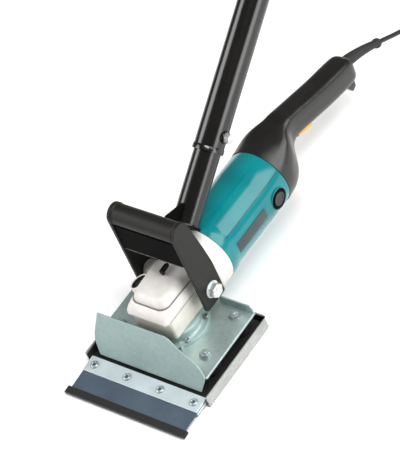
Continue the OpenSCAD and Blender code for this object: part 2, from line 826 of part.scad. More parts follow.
module gear_housing() {
    head_flange = motor_fore - cone_aft;
    color("#ede7e2") difference() {
        union() {
            translate([0, 0, axis_h]) linear_extrude(skirt_rise + step) case_plan();
            translate([0, 0, axis_h + skirt_rise]) {
                hull() {
                    linear_extrude(shoulder_rise - skirt_rise) head_corners(0);
                    linear_extrude(crease_rise - skirt_rise) head_corners(shoulder_in);
                }
                hull() {
                    linear_extrude(crease_rise - skirt_rise) head_corners(shoulder_in);
                    linear_extrude(head_rise - skirt_rise) head_corners(crown_in);
                }
            }
            along_y(cone_fore, axis_h) cylinder(r1 = cone_r, r2 = flare_r, h = cone_aft - cone_fore);
            along_y(cone_aft, axis_h) cylinder(r = flare_r, h = head_flange);
            for (s = [-1, 1]) along_x(s < 0 ? -yoke_boss_x : 0, yoke_bolt_y, yoke_bolt_z)
                cylinder(r = yoke_boss_r, h = yoke_boss_x);
            side_boss() translate([0, 0, -side_boss_len]) cylinder(r = side_boss_r, h = side_boss_len);
        }
        side_boss() translate([0, 0, -side_hole_len])
            cylinder(r = side_hole_r, h = side_hole_len + overrun);
        side_boss() translate([0, 0, -side_mouth_len])
            cylinder(r = side_mouth_r, h = side_mouth_len + overrun);
        for (s = [-1, 1])
            along_x(s < 0 ? -yoke_boss_x - overrun : yoke_inner - yoke_bolt_r * 3.4, yoke_bolt_y, yoke_bolt_z)
                cylinder(r = yoke_bolt_r + fit_clear, h = yoke_bolt_r * 3.4);
        along_y(pinion_y - gear_face / 2, axis_h) cylinder(r = tunnel_r, h = front_bearing_y);
        along_y(front_bearing_y, axis_h) cylinder(r = front_bearing_r, h = motor_fore);
        along_y(front_bearing_y + front_bearing_w + motor_wall, axis_h)
            cylinder(r = fan_r + 2 * step, h = motor_fore);
        translate([0, 0, axis_h - overrun])
            cylinder(r = spindle_r + step, h = needle_z - axis_h + 2 * overrun);
        translate([0, 0, needle_z]) cylinder(r = needle_r, h = needle_w);
        translate([lock_x, lock_y, axis_h - overrun])
            cylinder(r = lock_pin_r + fit_clear, h = head_rise + 2 * overrun);
        along_y(cone_fore, axis_h) housing_places() {
            cylinder(r = housing_screw_r + fit_clear, h = motor_fore);
            cylinder(r = housing_screw_r * cap_share + step, h = cone_aft - cone_fore + head_flange / 3);
        }
        translate([-case_half_w, -case_half_w, collar_top])
            cube([2 * case_half_w, case_half_w + cone_fore, axis_h - collar_top]);
    }
}

module housing_screws() {
    seat_y = cone_aft + (motor_fore - cone_aft) / 3;
    head_h = housing_screw_r * cap_share;
    color("#444444") along_y(seat_y, axis_h) housing_places() {
        cylinder(r = housing_screw_r, h = motor_fore - seat_y + flare_len);
        translate([0, 0, -head_h]) cylinder(r = head_h, h = head_h);
    }
}

module motor_profile() {
    f = motor_fore;
    a = motor_aft;
    wide = flare_len * 2.4;
    waist_aft = stator_y + stator_len + flare_len;
    w = motor_wall;
    polygon([
        [flare_r, f], [flare_r, f + flare_len], [waist_r, f + wide], [waist_r, waist_aft],
        [brush_ring_r, waist_aft + flare_len], [brush_ring_r, a],
        [brush_ring_r - w, a], [brush_ring_r - w, bulkhead_y + bulkhead_t],
        [rear_bearing_r, bulkhead_y + bulkhead_t], [rear_bearing_r, bulkhead_y],
        [brush_ring_r - w, bulkhead_y], [brush_ring_r - w, waist_aft + flare_len], [waist_r - w, waist_aft],
        [waist_r - w, f + wide], [flare_r - w, f + flare_len], [flare_r - w, f]
    ]);
}

module motor_housing() {
    color("#0e8f90") difference() {
        union() {
            along_y(0, axis_h) rotate_extrude() motor_profile();
            along_y(motor_fore, axis_h) housing_places()
                cylinder(r = housing_screw_r * 2, h = flare_len + step);
        }
        along_y(motor_fore - overrun, axis_h) housing_places()
            cylinder(r = housing_screw_r + fit_clear, h = flare_len + overrun);
        along_x(-flare_r, brush_y, axis_h) cylinder(r = brush_cap_r, h = 2 * flare_r);
    }
}

module stator() {
    color("#8a8a88") along_y(stator_y, axis_h) tube(waist_r - motor_wall, stator_bore_r, stator_len);
}

module brush_caps() {
    out = brush_ring_r + motor_wall / 2;
    seat = brush_ring_r - 1.5 * motor_wall;
    color("#3a3a33") both_sides() {
        along_x(seat, brush_y, axis_h) cylinder(r = brush_cap_r - fit_clear, h = out - seat);
        along_x(brush_x + brush_len, brush_y, axis_h)
            cylinder(r = brush_cap_r * 0.65, h = seat - brush_x - brush_len);
    }
}

module carbon_brushes() {
    color("#333333") both_sides() translate([brush_x, brush_y - brush_half, axis_h - brush_half])
        cube([brush_len, 2 * brush_half, 2 * brush_half]);
}

module name_plates() {
    color("#10b0b0") both_sides() intersection() {
        along_y(plate_y - plate_len / 2, axis_h) tube(waist_r + plate_t, waist_r, plate_len);
        translate([0, plate_y - plate_len / 2, axis_h + plate_t - plate_h / 3])
            cube([flare_r, plate_len, plate_h]);
    }
}

module armature_shaft() {
    color("#c8c8c8") along_y(pinion_y - 2 * step, axis_h)
        cylinder(r = shaft_r, h = bulkhead_y + bulkhead_t - pinion_y + 2 * step);
}

module armature_core() {
    color("#77736c") along_y(stator_y, axis_h) tube(core_r, shaft_r, stator_len);
}

module commutator() {
    color("#b87333") along_y(brush_y - commutator_len / 2, axis_h)
        tube(commutator_r, shaft_r, commutator_len);
}

module fan() {
    blade_w = motor_wall / 2;
    color("#444444") along_y(fan_y, axis_h) {
        tube(fan_r, shaft_r, blade_w);
        translate([0, 0, blade_w]) tube(shaft_r * 2, shaft_r, fan_t - blade_w);
        for (i = [0 : fan_blades - 1]) rotate([0, 0, i * 360 / fan_blades])
            translate([fan_r * 0.5, -blade_w / 2, blade_w - fit_clear])
                cube([fan_r * 0.48, blade_w, fan_t - blade_w]);
    }
}

module tooth_shape(base) {
    polygon([
        [-tooth_root, base], [-tooth_root, 0], [-tooth_tip, tooth_down + tooth_up],
        [tooth_tip, tooth_down + tooth_up], [tooth_root, 0], [tooth_root, base]
    ]);
}

module pinion() {
    root_r = gear_pitch_r - tooth_down;
    color("#c9b36a") along_y(pinion_y, axis_h) difference() {
        linear_extrude(gear_face) union() {
            circle(root_r);
            for (i = [0 : pinion_teeth - 1]) rotate(i * 360 / pinion_teeth) translate([0, root_r])
                tooth_shape(-tooth_tip);
        }
        translate([0, 0, -overrun]) cylinder(r = shaft_r, h = gear_face + 2 * overrun);
    }
}

module bevel_gear() {
    face_z = crown_plane - tooth_down;
    color("#c9b36a") difference() {
        union() {
            translate([0, 0, face_z - crown_back])
                cylinder(r = crown_r + gear_face / 2 + step / 2, h = crown_back);
            translate([0, 0, low_bearing_z + low_bearing_w + move_clear])
                cylinder(r = spindle_r * 1.7, h = face_z - low_bearing_z - low_bearing_w - move_clear);
            for (i = [0 : crown_teeth - 1]) rotate([0, 0, (i + 0.5) * 360 / crown_teeth + 90])
                translate([crown_r - gear_face / 2, 0, face_z]) rotate([90, 0, 90])
                    linear_extrude(gear_face) tooth_shape(-tooth_tip);
        }
        translate([0, 0, low_bearing_z]) cylinder(r = spindle_r, h = axis_h);
    }
}

module front_bearing() {
    color("#d0d0d0") along_y(front_bearing_y, axis_h)
        tube(front_bearing_r, shaft_r + fit_clear, front_bearing_w);
}

module rear_bearing() {
    color("#d0d0d0") along_y(bulkhead_y, axis_h) tube(rear_bearing_r, shaft_r + fit_clear, bulkhead_t);
}

module spindle() {
    top = needle_z - move_clear;
    color("#bfbfbf") {
        translate([0, 0, ecc_foot]) cylinder(r = spindle_end_r, h = low_bearing_z - ecc_foot);
        translate([0, 0, low_bearing_z]) cylinder(r = spindle_r, h = top - low_bearing_z);
        translate([0, 0, top]) cylinder(r = spindle_top_r, h = needle_w + move_clear);
    }
}

module upper_spindle_bearing() {
    color("#d0d0d0") translate([0, 0, needle_z]) tube(needle_r, spindle_top_r + fit_clear, needle_w);
}

module lower_spindle_bearing() {
    color("#d0d0d0") translate([0, 0, low_bearing_z])
        tube(low_bearing_r, spindle_r + fit_clear, low_bearing_w);
}

module eccentric() {
    color("#9a9a9a") difference() {
        union() {
            translate([ecc_throw, 0, ecc_foot]) cylinder(r = ecc_r, h = ecc_shoulder - ecc_foot + step);
            translate([0, 0, ecc_shoulder]) cylinder(r = ecc_hub_r, h = ecc_hub_h);
            intersection() {
                translate([0, 0, ecc_shoulder + 2 * step]) cylinder(r = weight_r, h = ecc_hub_h - 4 * step);
                translate([-weight_r, -weight_r, ecc_shoulder]) cube([weight_r, 2 * weight_r, ecc_hub_h]);
            }
        }
        translate([0, 0, ecc_foot - overrun]) cylinder(r = spindle_end_r, h = ecc_hub_h + ecc_shoulder);
    }
}

module eccentric_bearing() {
    color("#d0d0d0") translate([ecc_throw, 0, ecc_bearing_z]) tube(ecc_bearing_r, ecc_r, ecc_bearing_w);
}

module shaft_lock() {
    color("#222222") translate([lock_x, lock_y, 0]) {
        translate([0, 0, lock_foot])
            cylinder(r = lock_pin_r, h = head_top + lock_travel + move_clear - lock_foot + step);
        translate([0, 0, head_top + lock_travel + move_clear]) linear_extrude(lock_cap_h - lock_travel) {
            circle(lock_cap_r);
            translate([0, 2 * lock_cap_r]) circle(lock_cap_r);
            translate([-lock_cap_r, 0]) square([2 * lock_cap_r, 2 * lock_cap_r]);
        }
    }
}

// Ring of the rear handle, drawn in by an inset
function handle_ring(row, inset, shift) =
    let (
        y = motor_aft + row[0] * handle_len + shift,
        z = axis_h + row[1] * grip_rise,
        a = grip_half_w + (brush_ring_r - grip_half_w) * row[2] - inset,
        b = grip_half_h + (brush_ring_r - grip_half_h) * row[2] - inset
    )
    [for (k = [0 : handle_sides - 1])
        let (c = cos(360 * k / handle_sides), s = sin(360 * k / handle_sides))
        [a * sign(c) * pow(abs(c), handle_power), y, z + b * sign(s) * pow(abs(s), handle_power)]
    ];

module handle_solid(inset) {
    last = len(handle_shares) - 1;
    skin([
        for (i = [0 : last])
        handle_ring(handle_shares[i], inset, inset == 0 ? 0 : i == 0 ? -overrun : i == last ? -inset : 0)
    ]);
}

module handle_hook() {
    fore = motor_aft + handle_len * 0.87;
    aft = motor_aft + handle_len * 0.985;
    low = axis_h - grip_half_h;
    half = grip_half_w * 0.5;
    translate([-half, 0, 0]) rotate([90, 0, 90]) linear_extrude(2 * half) polygon([
        [fore, low + hook_drop / 2], [aft - hook_drop * 0.6, low - hook_drop],
        [aft - hook_drop * 0.1, low - hook_drop * 0.8], [aft, low + hook_drop / 2]
    ]);
}

module handle_screw_places(spread) {
    for (s = handle_screw_shares)
        translate([0, motor_aft + s[0] * handle_len, axis_h + s[1] * grip_rise]) rotate([0, 90, 0])
            children();
}

// Ribs that hold the switch between the shells
module switch_ribs() {
    at_trigger() for (share = switch_rib_shares)
        translate([switch_half_w, trigger_nose + share * (trigger_len - trigger_nose), switch_z])
            cube([flare_r, shell_t, switch_h]);
}

module handle_half() {
    slot = trigger_half_w + move_clear;
    difference() {
        intersection() {
            difference() {
                union() {
                    handle_solid(0);
                    handle_hook();
                }
                difference() {
                    handle_solid(shell_t);
                    handle_screw_places() translate([0, 0, -flare_r])
                        cylinder(r = handle_screw_r * 2.2, h = 2 * flare_r);
                    switch_ribs();
                }
            }
            translate([0, motor_aft - overrun, -axis_h]) cube([axis_h, 2 * handle_len, 3 * axis_h]);
        }
        at_trigger() translate([-slot, -trigger_nose - move_clear, -trigger_skin - 2 * trigger_out])
            cube([
                2 * slot, trigger_len + trigger_nose + 2 * step,
                trigger_skin + 2 * trigger_out + trigger_nose
            ]);
        translate([0, guard_y, guard_z]) rotate([-90 - cord_guard_drop, 0, 0])
            cylinder(r = cord_guard_r, h = guard_len);
        handle_screw_places() translate([0, 0, -flare_r]) cylinder(r = handle_screw_r, h = 2 * flare_r);
        along_x(-grip_half_w, trigger_y, trigger_z)
            cylinder(r = trigger_pin_r, h = 2 * grip_half_w - shell_t / 2);
    }
}

module handle_shell_right() {
    color("#232220") handle_half();
}

module handle_shell_left() {
    color("#232220") difference() {
        mirror([1, 0, 0]) handle_half();
        along_x(-2 * grip_half_w, lock_button_y, lock_button_z)
            cylinder(r = lock_r + fit_clear, h = 2 * grip_half_w);
    }
}

module handle_screws() {
    long = grip_half_w - shell_t;
    color("#555555") handle_screw_places() translate([0, 0, -long])
        cylinder(r = handle_screw_r, h = 2 * long);
}

module switch_body() {
    color("#333333") at_trigger() translate([-switch_half_w, trigger_nose, switch_z])
        cube([2 * switch_half_w, trigger_len - trigger_nose, switch_h]);
}

module trigger() {
    low = -trigger_skin - trigger_out;
    color("#e8b860") at_trigger() difference() {
        translate([-trigger_half_w, 0, 0]) rotate([90, 0, 90]) linear_extrude(2 * trigger_half_w) polygon([
            [-trigger_nose, trigger_nose * 0.8], [-trigger_nose, -trigger_skin],
            [trigger_nose, low + trigger_out * 0.35], [trigger_len * 0.4, low + trigger_out * 0.2],
            [trigger_len * 0.8, low], [trigger_len * 0.95, low], [trigger_len, low + trigger_out * 0.3],
            [trigger_len, -trigger_nose * 0.2], [trigger_nose, trigger_nose * 0.8]
        ]);
        translate([-grip_half_w, 0, 0]) rotate([0, 90, 0])
            cylinder(r = trigger_pin_r + fit_clear, h = 2 * grip_half_w);
    }
}

module trigger_pin() {
    long = grip_half_w - shell_t / 2;
    color("#aaaaaa") along_x(-long, trigger_y, trigger_z) cylinder(r = trigger_pin_r, h = 2 * long);
}

module lock_button() {
    color("#b03a2e") along_x(-grip_half_w - lock_r * 0.7, lock_button_y, lock_button_z)
        cylinder(r = lock_r, h = lock_r * 2);
}

module yoke_plate() {
    rotate([90, 0, 90]) linear_extrude(yoke_t) difference() {
        union() {
            polygon([
                [yoke_fore, yoke_foot], [yoke_aft, yoke_foot], [yoke_aft - step, yoke_mid_z],
                [cross_y + yoke_head_r, cross_z], [cross_y - yoke_head_r, cross_z]
            ]);
            translate([cross_y, cross_z]) circle(yoke_head_r);
        }
        translate([yoke_bolt_y, yoke_bolt_z]) circle(yoke_bolt_r + fit_clear);
    }
}

module yoke_plate_right() {
    color("#1c1b1a") translate([yoke_inner, 0, 0]) yoke_plate();
}

module yoke_plate_left() {
    color("#1c1b1a") translate([-yoke_half_w, 0, 0]) yoke_plate();
}

module cross_tube() {
    color("#1c1b1a") along_x(-yoke_inner, cross_y, cross_z)
        tube(cross_r, cross_r - cross_wall, 2 * yoke_inner);
}

module yoke_webs() {
    color("#1c1b1a") difference() {
        union() {
            translate([-yoke_inner, web_y, web_foot]) cube([2 * yoke_inner, web_t, cross_z - web_foot]);
            at_pole() translate([0, 0, -web_t]) linear_extrude(web_t) polygon([
                [-stub_plate_half, stub_plate_low], [stub_plate_half, stub_plate_low],
                [yoke_inner - step, -stub_plate_high], [-yoke_inner + step, -stub_plate_high]
            ]);
            at_pole() rotate([0, -90, 0]) translate([0, 0, -web_t / 2]) linear_extrude(web_t) polygon([
                [0, 0], [gusset_run, 0], [gusset_run, -stub_r], [0, -stub_r - gusset_rise]
            ]);
        }
        along_x(-2 * yoke_inner, cross_y, cross_z) cylinder(r = cross_r, h = 4 * yoke_inner);
        at_pole() cylinder(r = stub_r, h = stub_len);
    }
}

module pole_stub() {
    color("#1c1b1a") at_pole() tube(stub_r, stub_r - stub_wall, stub_len);
}

module yoke_bolts() {
    tip = yoke_inner - yoke_bolt_r * 3.2;
    color("white") both_sides() {
        along_x(tip, yoke_bolt_y, yoke_bolt_z) cylinder(r = yoke_bolt_r, h = yoke_head_x - tip);
        along_x(yoke_head_x, yoke_bolt_y, yoke_bolt_z) hex(yoke_hex_r, yoke_hex_r * 2 * hex_share * 0.7);
    }
}

module yoke_washers() {
    color("lightgray") both_sides() {
        along_x(yoke_boss_x, yoke_bolt_y, yoke_bolt_z) tube(yoke_boss_r, yoke_bolt_r, yoke_washer_t);
        along_x(yoke_half_w + move_clear, yoke_bolt_y, yoke_bolt_z)
            tube(yoke_boss_r, yoke_bolt_r, yoke_washer_t);
    }
}

module pole() {
    rim = pole_wall / 2;
    color("#151515") at_pole() difference() {
        union() {
            translate([0, 0, stub_bare]) cylinder(r = pole_r, h = pole_len);
            translate([0, 0, stub_bare]) cylinder(r = pole_r + rim, h = 8 * rim);
            translate([0, 0, stub_bare + clamp_y]) rotate([0, 90, 0])
                cylinder(r = clamp_boss_r, h = clamp_boss_x);
        }
        translate([0, 0, stub_bare - overrun]) cylinder(r = stub_r + fit_clear, h = pole_len + 2 * overrun);
        translate([0, 0, stub_bare + clamp_y]) rotate([0, 90, 0])
            cylinder(r = clamp_bolt_r + fit_clear, h = clamp_boss_x + overrun);
    }
}

module clamp_bolt() {
    tip = stub_r + move_clear;
    color("white") at_pole() translate([0, 0, stub_bare + clamp_y]) rotate([0, 90, 0]) {
        translate([0, 0, tip]) cylinder(r = clamp_bolt_r, h = clamp_boss_x - tip);
        translate([0, 0, clamp_boss_x]) hex(clamp_hex_r, clamp_hex_r);
    }
}

module hand_grip() {
    color("#202020") at_pole() difference() {
        translate([0, 0, pole_end - hand_grip_len])
            cylinder(r = pole_r + hand_grip_t, h = hand_grip_len + hand_grip_t);
        translate([0, 0, pole_end - hand_grip_len - overrun])
            cylinder(r = pole_r, h = hand_grip_len + overrun);
    }
}

module cord_guard() {
    lip = cord_r * 2.1;
    thin = cord_r * 1.7;
    color("#1a1a1a") translate([0, guard_y, guard_z])
        rotate([-90 - cord_guard_drop, 0, 0]) rotate_extrude($fn = 32) polygon([
        [0, 0], [cord_guard_r, 0], [cord_guard_r, guard_len * 0.2], [thin, guard_len * 0.86],
        [lip, guard_len * 0.9], [lip, guard_len * 0.97], [thin, guard_len], [0, guard_len]
    ]);
}

module power_cord() {
    color("#1a1a1a") skin(tube_rings(cord_route, cord_r, cord_sides));
}

module cord_coil() {
    rings = [
        for (i = [0 : len(coil_points) - 1])
        ring_at(
            coil_points[i],
            i == 0 || i == len(coil_points) - 1 ? [0, 1, 0] : heading(coil_points, i),
            cord_r, coil_sides
        )
    ];
    color("#1a1a1a") skin(rings);
}

module cord_tail() {
    color("#1a1a1a") skin(tube_rings(tail_route, cord_r, cord_sides));
}

module coil_tie() {
    inner_l = coil_out_r - coil_in_r + cord_d + 2 * tie_gap;
    inner_h = 3 * coil_pitch + cord_d + 2 * tie_gap;
    color("#d8d8d8") translate([2 * coil_out_r + cord_r + tie_gap - inner_l, coil_y - tie_w / 2, tie_t])
        difference() {
        translate([-tie_t, 0, -tie_t]) cube([inner_l + 2 * tie_t, tie_w, inner_h + 2 * tie_t]);
        translate([0, -overrun, 0]) cube([inner_l, tie_w + 2 * overrun, inner_h]);
    }
}

module plug_body() {
    color("#1a1a1a") along_x(plug_x, plug_y, plug_r) rotate_extrude($fn = 32) polygon([
        [0, 0], [plug_neck_r, 0], [plug_neck_r, plug_neck_len], [plug_r, plug_neck_len * 1.5],
            [plug_r, plug_len], [0, plug_len]
    ]);
}

module plug_pins() {
    color("#c8b070") for (s = [-1, 1]) along_x(plug_x + plug_len, plug_y + s * pin_half, plug_r)
        cylinder(r = pin_r, h = pin_len);
}

tray();
blade_seat();
drive_block();
blade();
clamp_strip();
clamp_screws();
blade_guard();
base_plate();
deflector();
deflector_braces();
rubber_buffers();
buffer_bolts();
collar();
collar_screws();
lower_gear_case();
gear_housing();
housing_screws();
motor_housing();
stator();
brush_caps();
carbon_brushes();
name_plates();
armature_shaft();
armature_core();
commutator();
fan();
pinion();
front_bearing();
rear_bearing();
spindle();
bevel_gear();
upper_spindle_bearing();
lower_spindle_bearing();
eccentric();
eccentric_bearing();
shaft_lock();
handle_shell_left();
handle_shell_right();
handle_screws();
switch_body();
trigger();
trigger_pin();
lock_button();
yoke_plate_left();
yoke_plate_right();
cross_tube();
yoke_webs();
pole_stub();
yoke_bolts();
yoke_washers();
pole();
clamp_bolt();
hand_grip();
cord_guard();
power_cord();
cord_coil();
cord_tail();
coil_tie();
plug_body();
plug_pins();
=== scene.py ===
import math
import bpy
import bmesh
from mathutils import Matrix, Vector


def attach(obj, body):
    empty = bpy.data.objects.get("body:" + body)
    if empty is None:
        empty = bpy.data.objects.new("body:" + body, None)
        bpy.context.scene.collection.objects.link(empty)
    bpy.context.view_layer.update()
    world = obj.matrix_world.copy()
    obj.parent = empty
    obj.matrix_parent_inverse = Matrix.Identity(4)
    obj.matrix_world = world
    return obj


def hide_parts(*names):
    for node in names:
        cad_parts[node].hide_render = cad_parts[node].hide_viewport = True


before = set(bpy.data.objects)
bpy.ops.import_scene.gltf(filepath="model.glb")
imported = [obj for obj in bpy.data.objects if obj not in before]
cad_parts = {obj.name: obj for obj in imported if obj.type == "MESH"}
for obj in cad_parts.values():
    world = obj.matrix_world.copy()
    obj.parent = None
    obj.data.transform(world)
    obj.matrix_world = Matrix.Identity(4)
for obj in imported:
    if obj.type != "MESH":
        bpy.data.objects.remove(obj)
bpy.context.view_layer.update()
mm = 0.001
print("frame loaded:", len(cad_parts), "nodes")


# materials

def linear(code):
    parts = [int(code[i:i + 2], 16) / 255 for i in (1, 3, 5)]
    return tuple(c / 12.92 if c <= 0.04045 else ((c + 0.055) / 1.055) ** 2.4 for c in parts) + (1.0,)


def addNode(tree, kind, settings=None, inputs=None):
    made = tree.nodes.new(kind)
    for key, value in (settings or {}).items():
        setattr(made, key, value)
    for key, value in (inputs or {}).items():
        if isinstance(value, bpy.types.NodeSocket):
            tree.links.new(value, made.inputs[key])
        else:
            made.inputs[key].default_value = value
    return made


# shares of a noise between which tones and roughness drift, and fixed values of all finishes
shading = {"drift": (0.3, 0.7), "spangle": 0.35, "coatRough": 0.08, "bumpM": 0.0004,
           "patchDetail": 3, "grainDetail": 2}


def makeFinish(name, light, dark, patchMm, rough, metallic=0.0, ior=1.5, grainMm=0.6, grain=0.1,
               stretch=(1, 1, 1), spangleMm=0, coat=0.0):
    # light and dark drift over patches, roughness over a range, and a grain stands up a little
    material = bpy.data.materials.new(name)
    material.use_nodes = True
    tree = material.node_tree
    shader = tree.nodes["Principled BSDF"]
    shader.inputs["Metallic"].default_value = metallic
    shader.inputs["IOR"].default_value = ior
    shader.inputs["Coat Weight"].default_value = coat
    shader.inputs["Coat Roughness"].default_value = shading["coatRough"]
    low, high = shading["drift"]
    coords = addNode(tree, "ShaderNodeTexCoord").outputs["Object"]
    stretched = addNode(tree, "ShaderNodeMapping", None,
                        {"Vector": coords, "Scale": stretch}).outputs["Vector"]
    patches = addNode(tree, "ShaderNodeTexNoise", None, {
        "Vector": coords, "Scale": 1000 / patchMm, "Detail": shading["patchDetail"]})
    tone = patches.outputs["Fac"]
    if spangleMm:
        cells = addNode(tree, "ShaderNodeTexVoronoi", None, {"Vector": coords, "Scale": 1000 / spangleMm})
        tone = addNode(tree, "ShaderNodeMix", None, {
            "Factor": shading["spangle"], "A": patches.outputs["Fac"],
            "B": cells.outputs["Color"]}).outputs["Result"]
    ramp = addNode(tree, "ShaderNodeValToRGB", None, {"Fac": tone})
    for stop, place, code in zip(ramp.color_ramp.elements, (low, high), (dark, light)):
        stop.position = place
        stop.color = linear(code)
    tree.links.new(ramp.outputs["Color"], shader.inputs["Base Color"])
    grains = addNode(tree, "ShaderNodeTexNoise", None, {
        "Vector": stretched, "Scale": 1000 / grainMm, "Detail": shading["grainDetail"]})
    spread = addNode(tree, "ShaderNodeMapRange", None, {
        "Value": grains.outputs["Fac"], "From Min": low, "From Max": high,
        "To Min": rough[0], "To Max": rough[1]})
    tree.links.new(spread.outputs["Result"], shader.inputs["Roughness"])
    bump = addNode(tree, "ShaderNodeBump", None, {
        "Height": grains.outputs["Fac"], "Strength": grain, "Distance": shading["bumpM"]})
    tree.links.new(bump.outputs["Normal"], shader.inputs["Normal"])
    return material


finishes = {
    # real grains are mostly finer than 0.2 mm; they are drawn as coarse as they need to show
    # zinc plated sheet: pale grey green with faint spangle, satin
    "zincSheet": {"light": "#9DB1AE", "dark": "#92A7A4", "patchMm": 40, "rough": (0.42, 0.56),
        "metallic": 0.42, "grainMm": 1.2, "grain": 0.04, "spangleMm": 5},
    # the flat base plate, smoother, mirrors what stands over it
    "zincPlate": {"light": "#BED0CE", "dark": "#ACC0BE", "patchMm": 40, "rough": (0.3, 0.38),
        "metallic": 0.75, "grainMm": 1.6, "grain": 0.006, "spangleMm": 5},
    # bright zinc on cut strip and collar
    "brightZinc": {"light": "#D2DEE2", "dark": "#C2CED2", "patchMm": 30, "rough": (0.3, 0.45),
        "metallic": 0.45, "grainMm": 0.8, "grain": 0.05, "stretch": (1, 6, 6)},
    # bent sheet of the tray, pale grey zinc
    "traySheet": {"light": "#B2B4B1", "dark": "#9FA19E", "patchMm": 35, "rough": (0.35, 0.5),
        "metallic": 0.5, "grainMm": 1.0, "grain": 0.04, "spangleMm": 5},
    # hardened spring steel, blue grey, brushed along its width
    "springSteel": {"light": "#576574", "dark": "#4D5A67", "patchMm": 60, "rough": (0.36, 0.52),
        "metallic": 0.5, "grainMm": 1.0, "grain": 0.06, "stretch": (0.08, 1, 1)},
    # bare die cast aluminium, blasted: warm white with a fine sandy skin
    "castAluminium": {"light": "#DEDBD7", "dark": "#CECAC3", "patchMm": 18, "rough": (0.42, 0.6),
        "metallic": 0.12, "grainMm": 0.9, "grain": 0.16},
    # the same casting on the lower case, a little yellower
    "castShade": {"light": "#DAD7CC", "dark": "#CAC7BB", "patchMm": 18, "rough": (0.42, 0.62),
        "metallic": 0.12, "grainMm": 0.9, "grain": 0.16},
    # painted shade for the crease around the crown and the gap under the skirt
    "castGrime": {"light": "#7B746A", "dark": "#675F56", "patchMm": 6, "rough": (0.6, 0.8), "ior": 1.4,
        "grainMm": 0.9},
    # moulded glass filled nylon, teal, polished tool face
    "tealNylon": {"light": "#067A7E", "dark": "#046B72", "patchMm": 70, "rough": (0.13, 0.22),
        "ior": 1.42, "grainMm": 1.4, "grain": 0.02, "coat": 0.15},
    # black glass filled nylon with a fine spark eroded grain
    "blackNylon": {"light": "#181714", "dark": "#100F0D", "patchMm": 30, "rough": (0.24, 0.36),
        "ior": 1.55, "grainMm": 0.7, "grain": 0.12},
    # slip-on polyethylene strip, dull black
    "blackStrip": {"light": "#171614", "dark": "#100F0E", "patchMm": 25, "rough": (0.4, 0.6),
        "grainMm": 0.8, "grain": 0.08, "stretch": (0.1, 1, 1)},
    # stoved enamel on steel, deep black and glossy with a faint orange peel
    "blackEnamel": {"light": "#100F0D", "dark": "#090807", "patchMm": 40, "rough": (0.17, 0.23),
        "grainMm": 2.5, "grain": 0.012, "coat": 0.1},
    # the same enamel sprayed thin on the yoke's plates, matt
    "mattEnamel": {"light": "#171612", "dark": "#12110E", "patchMm": 40, "rough": (0.42, 0.58),
        "ior": 1.36, "grainMm": 1.6},
    # painted highlight: a grey line along an edge
    "wornEnamel": {"light": "#8A8984", "dark": "#4A4945", "patchMm": 5, "rough": (0.4, 0.55),
        "metallic": 0.2, "grainMm": 0.8, "grain": 0.08},
    # black enamel darkened and dulled into painted shade, for the shaded webs and the brush caps'
    # recesses
    "dryEnamel": {"light": "#0B0A0A", "dark": "#070606", "patchMm": 30, "rough": (0.6, 0.75),
        "ior": 1.12, "grainMm": 1.6},
    # older zinc, dulled by handling
    "dullZinc": {"light": "#A9B3B5", "dark": "#8A9596", "patchMm": 8, "rough": (0.3, 0.45),
        "metallic": 0.6, "grainMm": 0.7, "grain": 0.06},
    # zinc plated bolts, nearly white
    "boltZinc": {"light": "#DDDEDA", "dark": "#BFC3C1", "patchMm": 8, "rough": (0.25, 0.4),
        "metallic": 0.75, "grainMm": 0.7, "grain": 0.06},
    # oxide blacked steel screws, dark grey with a soft sheen
    "blackSteel": {"light": "#3A3B3A", "dark": "#262726", "patchMm": 8, "rough": (0.35, 0.5),
        "metallic": 0.6, "grainMm": 0.7, "grain": 0.08},
    # moulded rubber
    "rubber": {"light": "#262524", "dark": "#1B1A1A", "patchMm": 12, "rough": (0.6, 0.8),
        "grainMm": 0.9, "grain": 0.12},
    # cord jacket, smooth black PVC
    "cordJacket": {"light": "#242323", "dark": "#1A1919", "patchMm": 15, "rough": (0.38, 0.52),
        "grainMm": 1.0, "grain": 0.05},
    # orange yellow ABS of the trigger
    "triggerAbs": {"light": "#EDB95A", "dark": "#DFA440", "patchMm": 20, "rough": (0.3, 0.42),
        "grainMm": 0.8, "grain": 0.06},
    # moulded red ABS, satin
    "buttonAbs": {"light": "#A83A2C", "dark": "#8E2E22", "patchMm": 10, "rough": (0.3, 0.42),
        "grainMm": 0.8, "grain": 0.06},
    # bare dark plate in place of a label
    "plateFilm": {"light": "#3A4245", "dark": "#2D3437", "patchMm": 25, "rough": (0.25, 0.38),
        "grainMm": 0.8, "grain": 0.03},
    # turned steel, bright, with fine rings
    "machinedSteel": {"light": "#C6C6C4", "dark": "#ADADAB", "patchMm": 12, "rough": (0.22, 0.36),
        "metallic": 1.0, "grain": 0.05, "stretch": (6, 6, 1)},
    # hardened gear steel, straw coloured and bright
    "gearSteel": {"light": "#B5AE9F", "dark": "#968F81", "patchMm": 10, "rough": (0.25, 0.4),
        "metallic": 1.0, "grain": 0.06},
    # stacked core sheets, dull grey with fine lines across
    "coreSteel": {"light": "#7C7770", "dark": "#635E58", "patchMm": 8, "rough": (0.4, 0.55),
        "metallic": 0.8, "grainMm": 0.7, "stretch": (1, 8, 1)},
    # drawn copper bars, warm and bright
    "copper": {"light": "#C47F55", "dark": "#A86740", "patchMm": 8, "rough": (0.25, 0.4),
        "metallic": 1.0, "grain": 0.06},
    # pressed carbon, black and dull
    "carbon": {"light": "#2A2A2B", "dark": "#1D1D1E", "patchMm": 4, "rough": (0.5, 0.7),
        "grainMm": 0.5},
    # natural nylon strap, milky white
    "tieNylon": {"light": "#DAD9D4", "dark": "#C8C7C2", "patchMm": 10, "rough": (0.35, 0.5),
        "grainMm": 0.8, "grain": 0.06},
    # turned brass, pale yellow and bright
    "brassPin": {"light": "#D8BF79", "dark": "#BFA55E", "patchMm": 6, "rough": (0.2, 0.32),
        "metallic": 1.0, "grainMm": 0.5, "grain": 0.04},
}
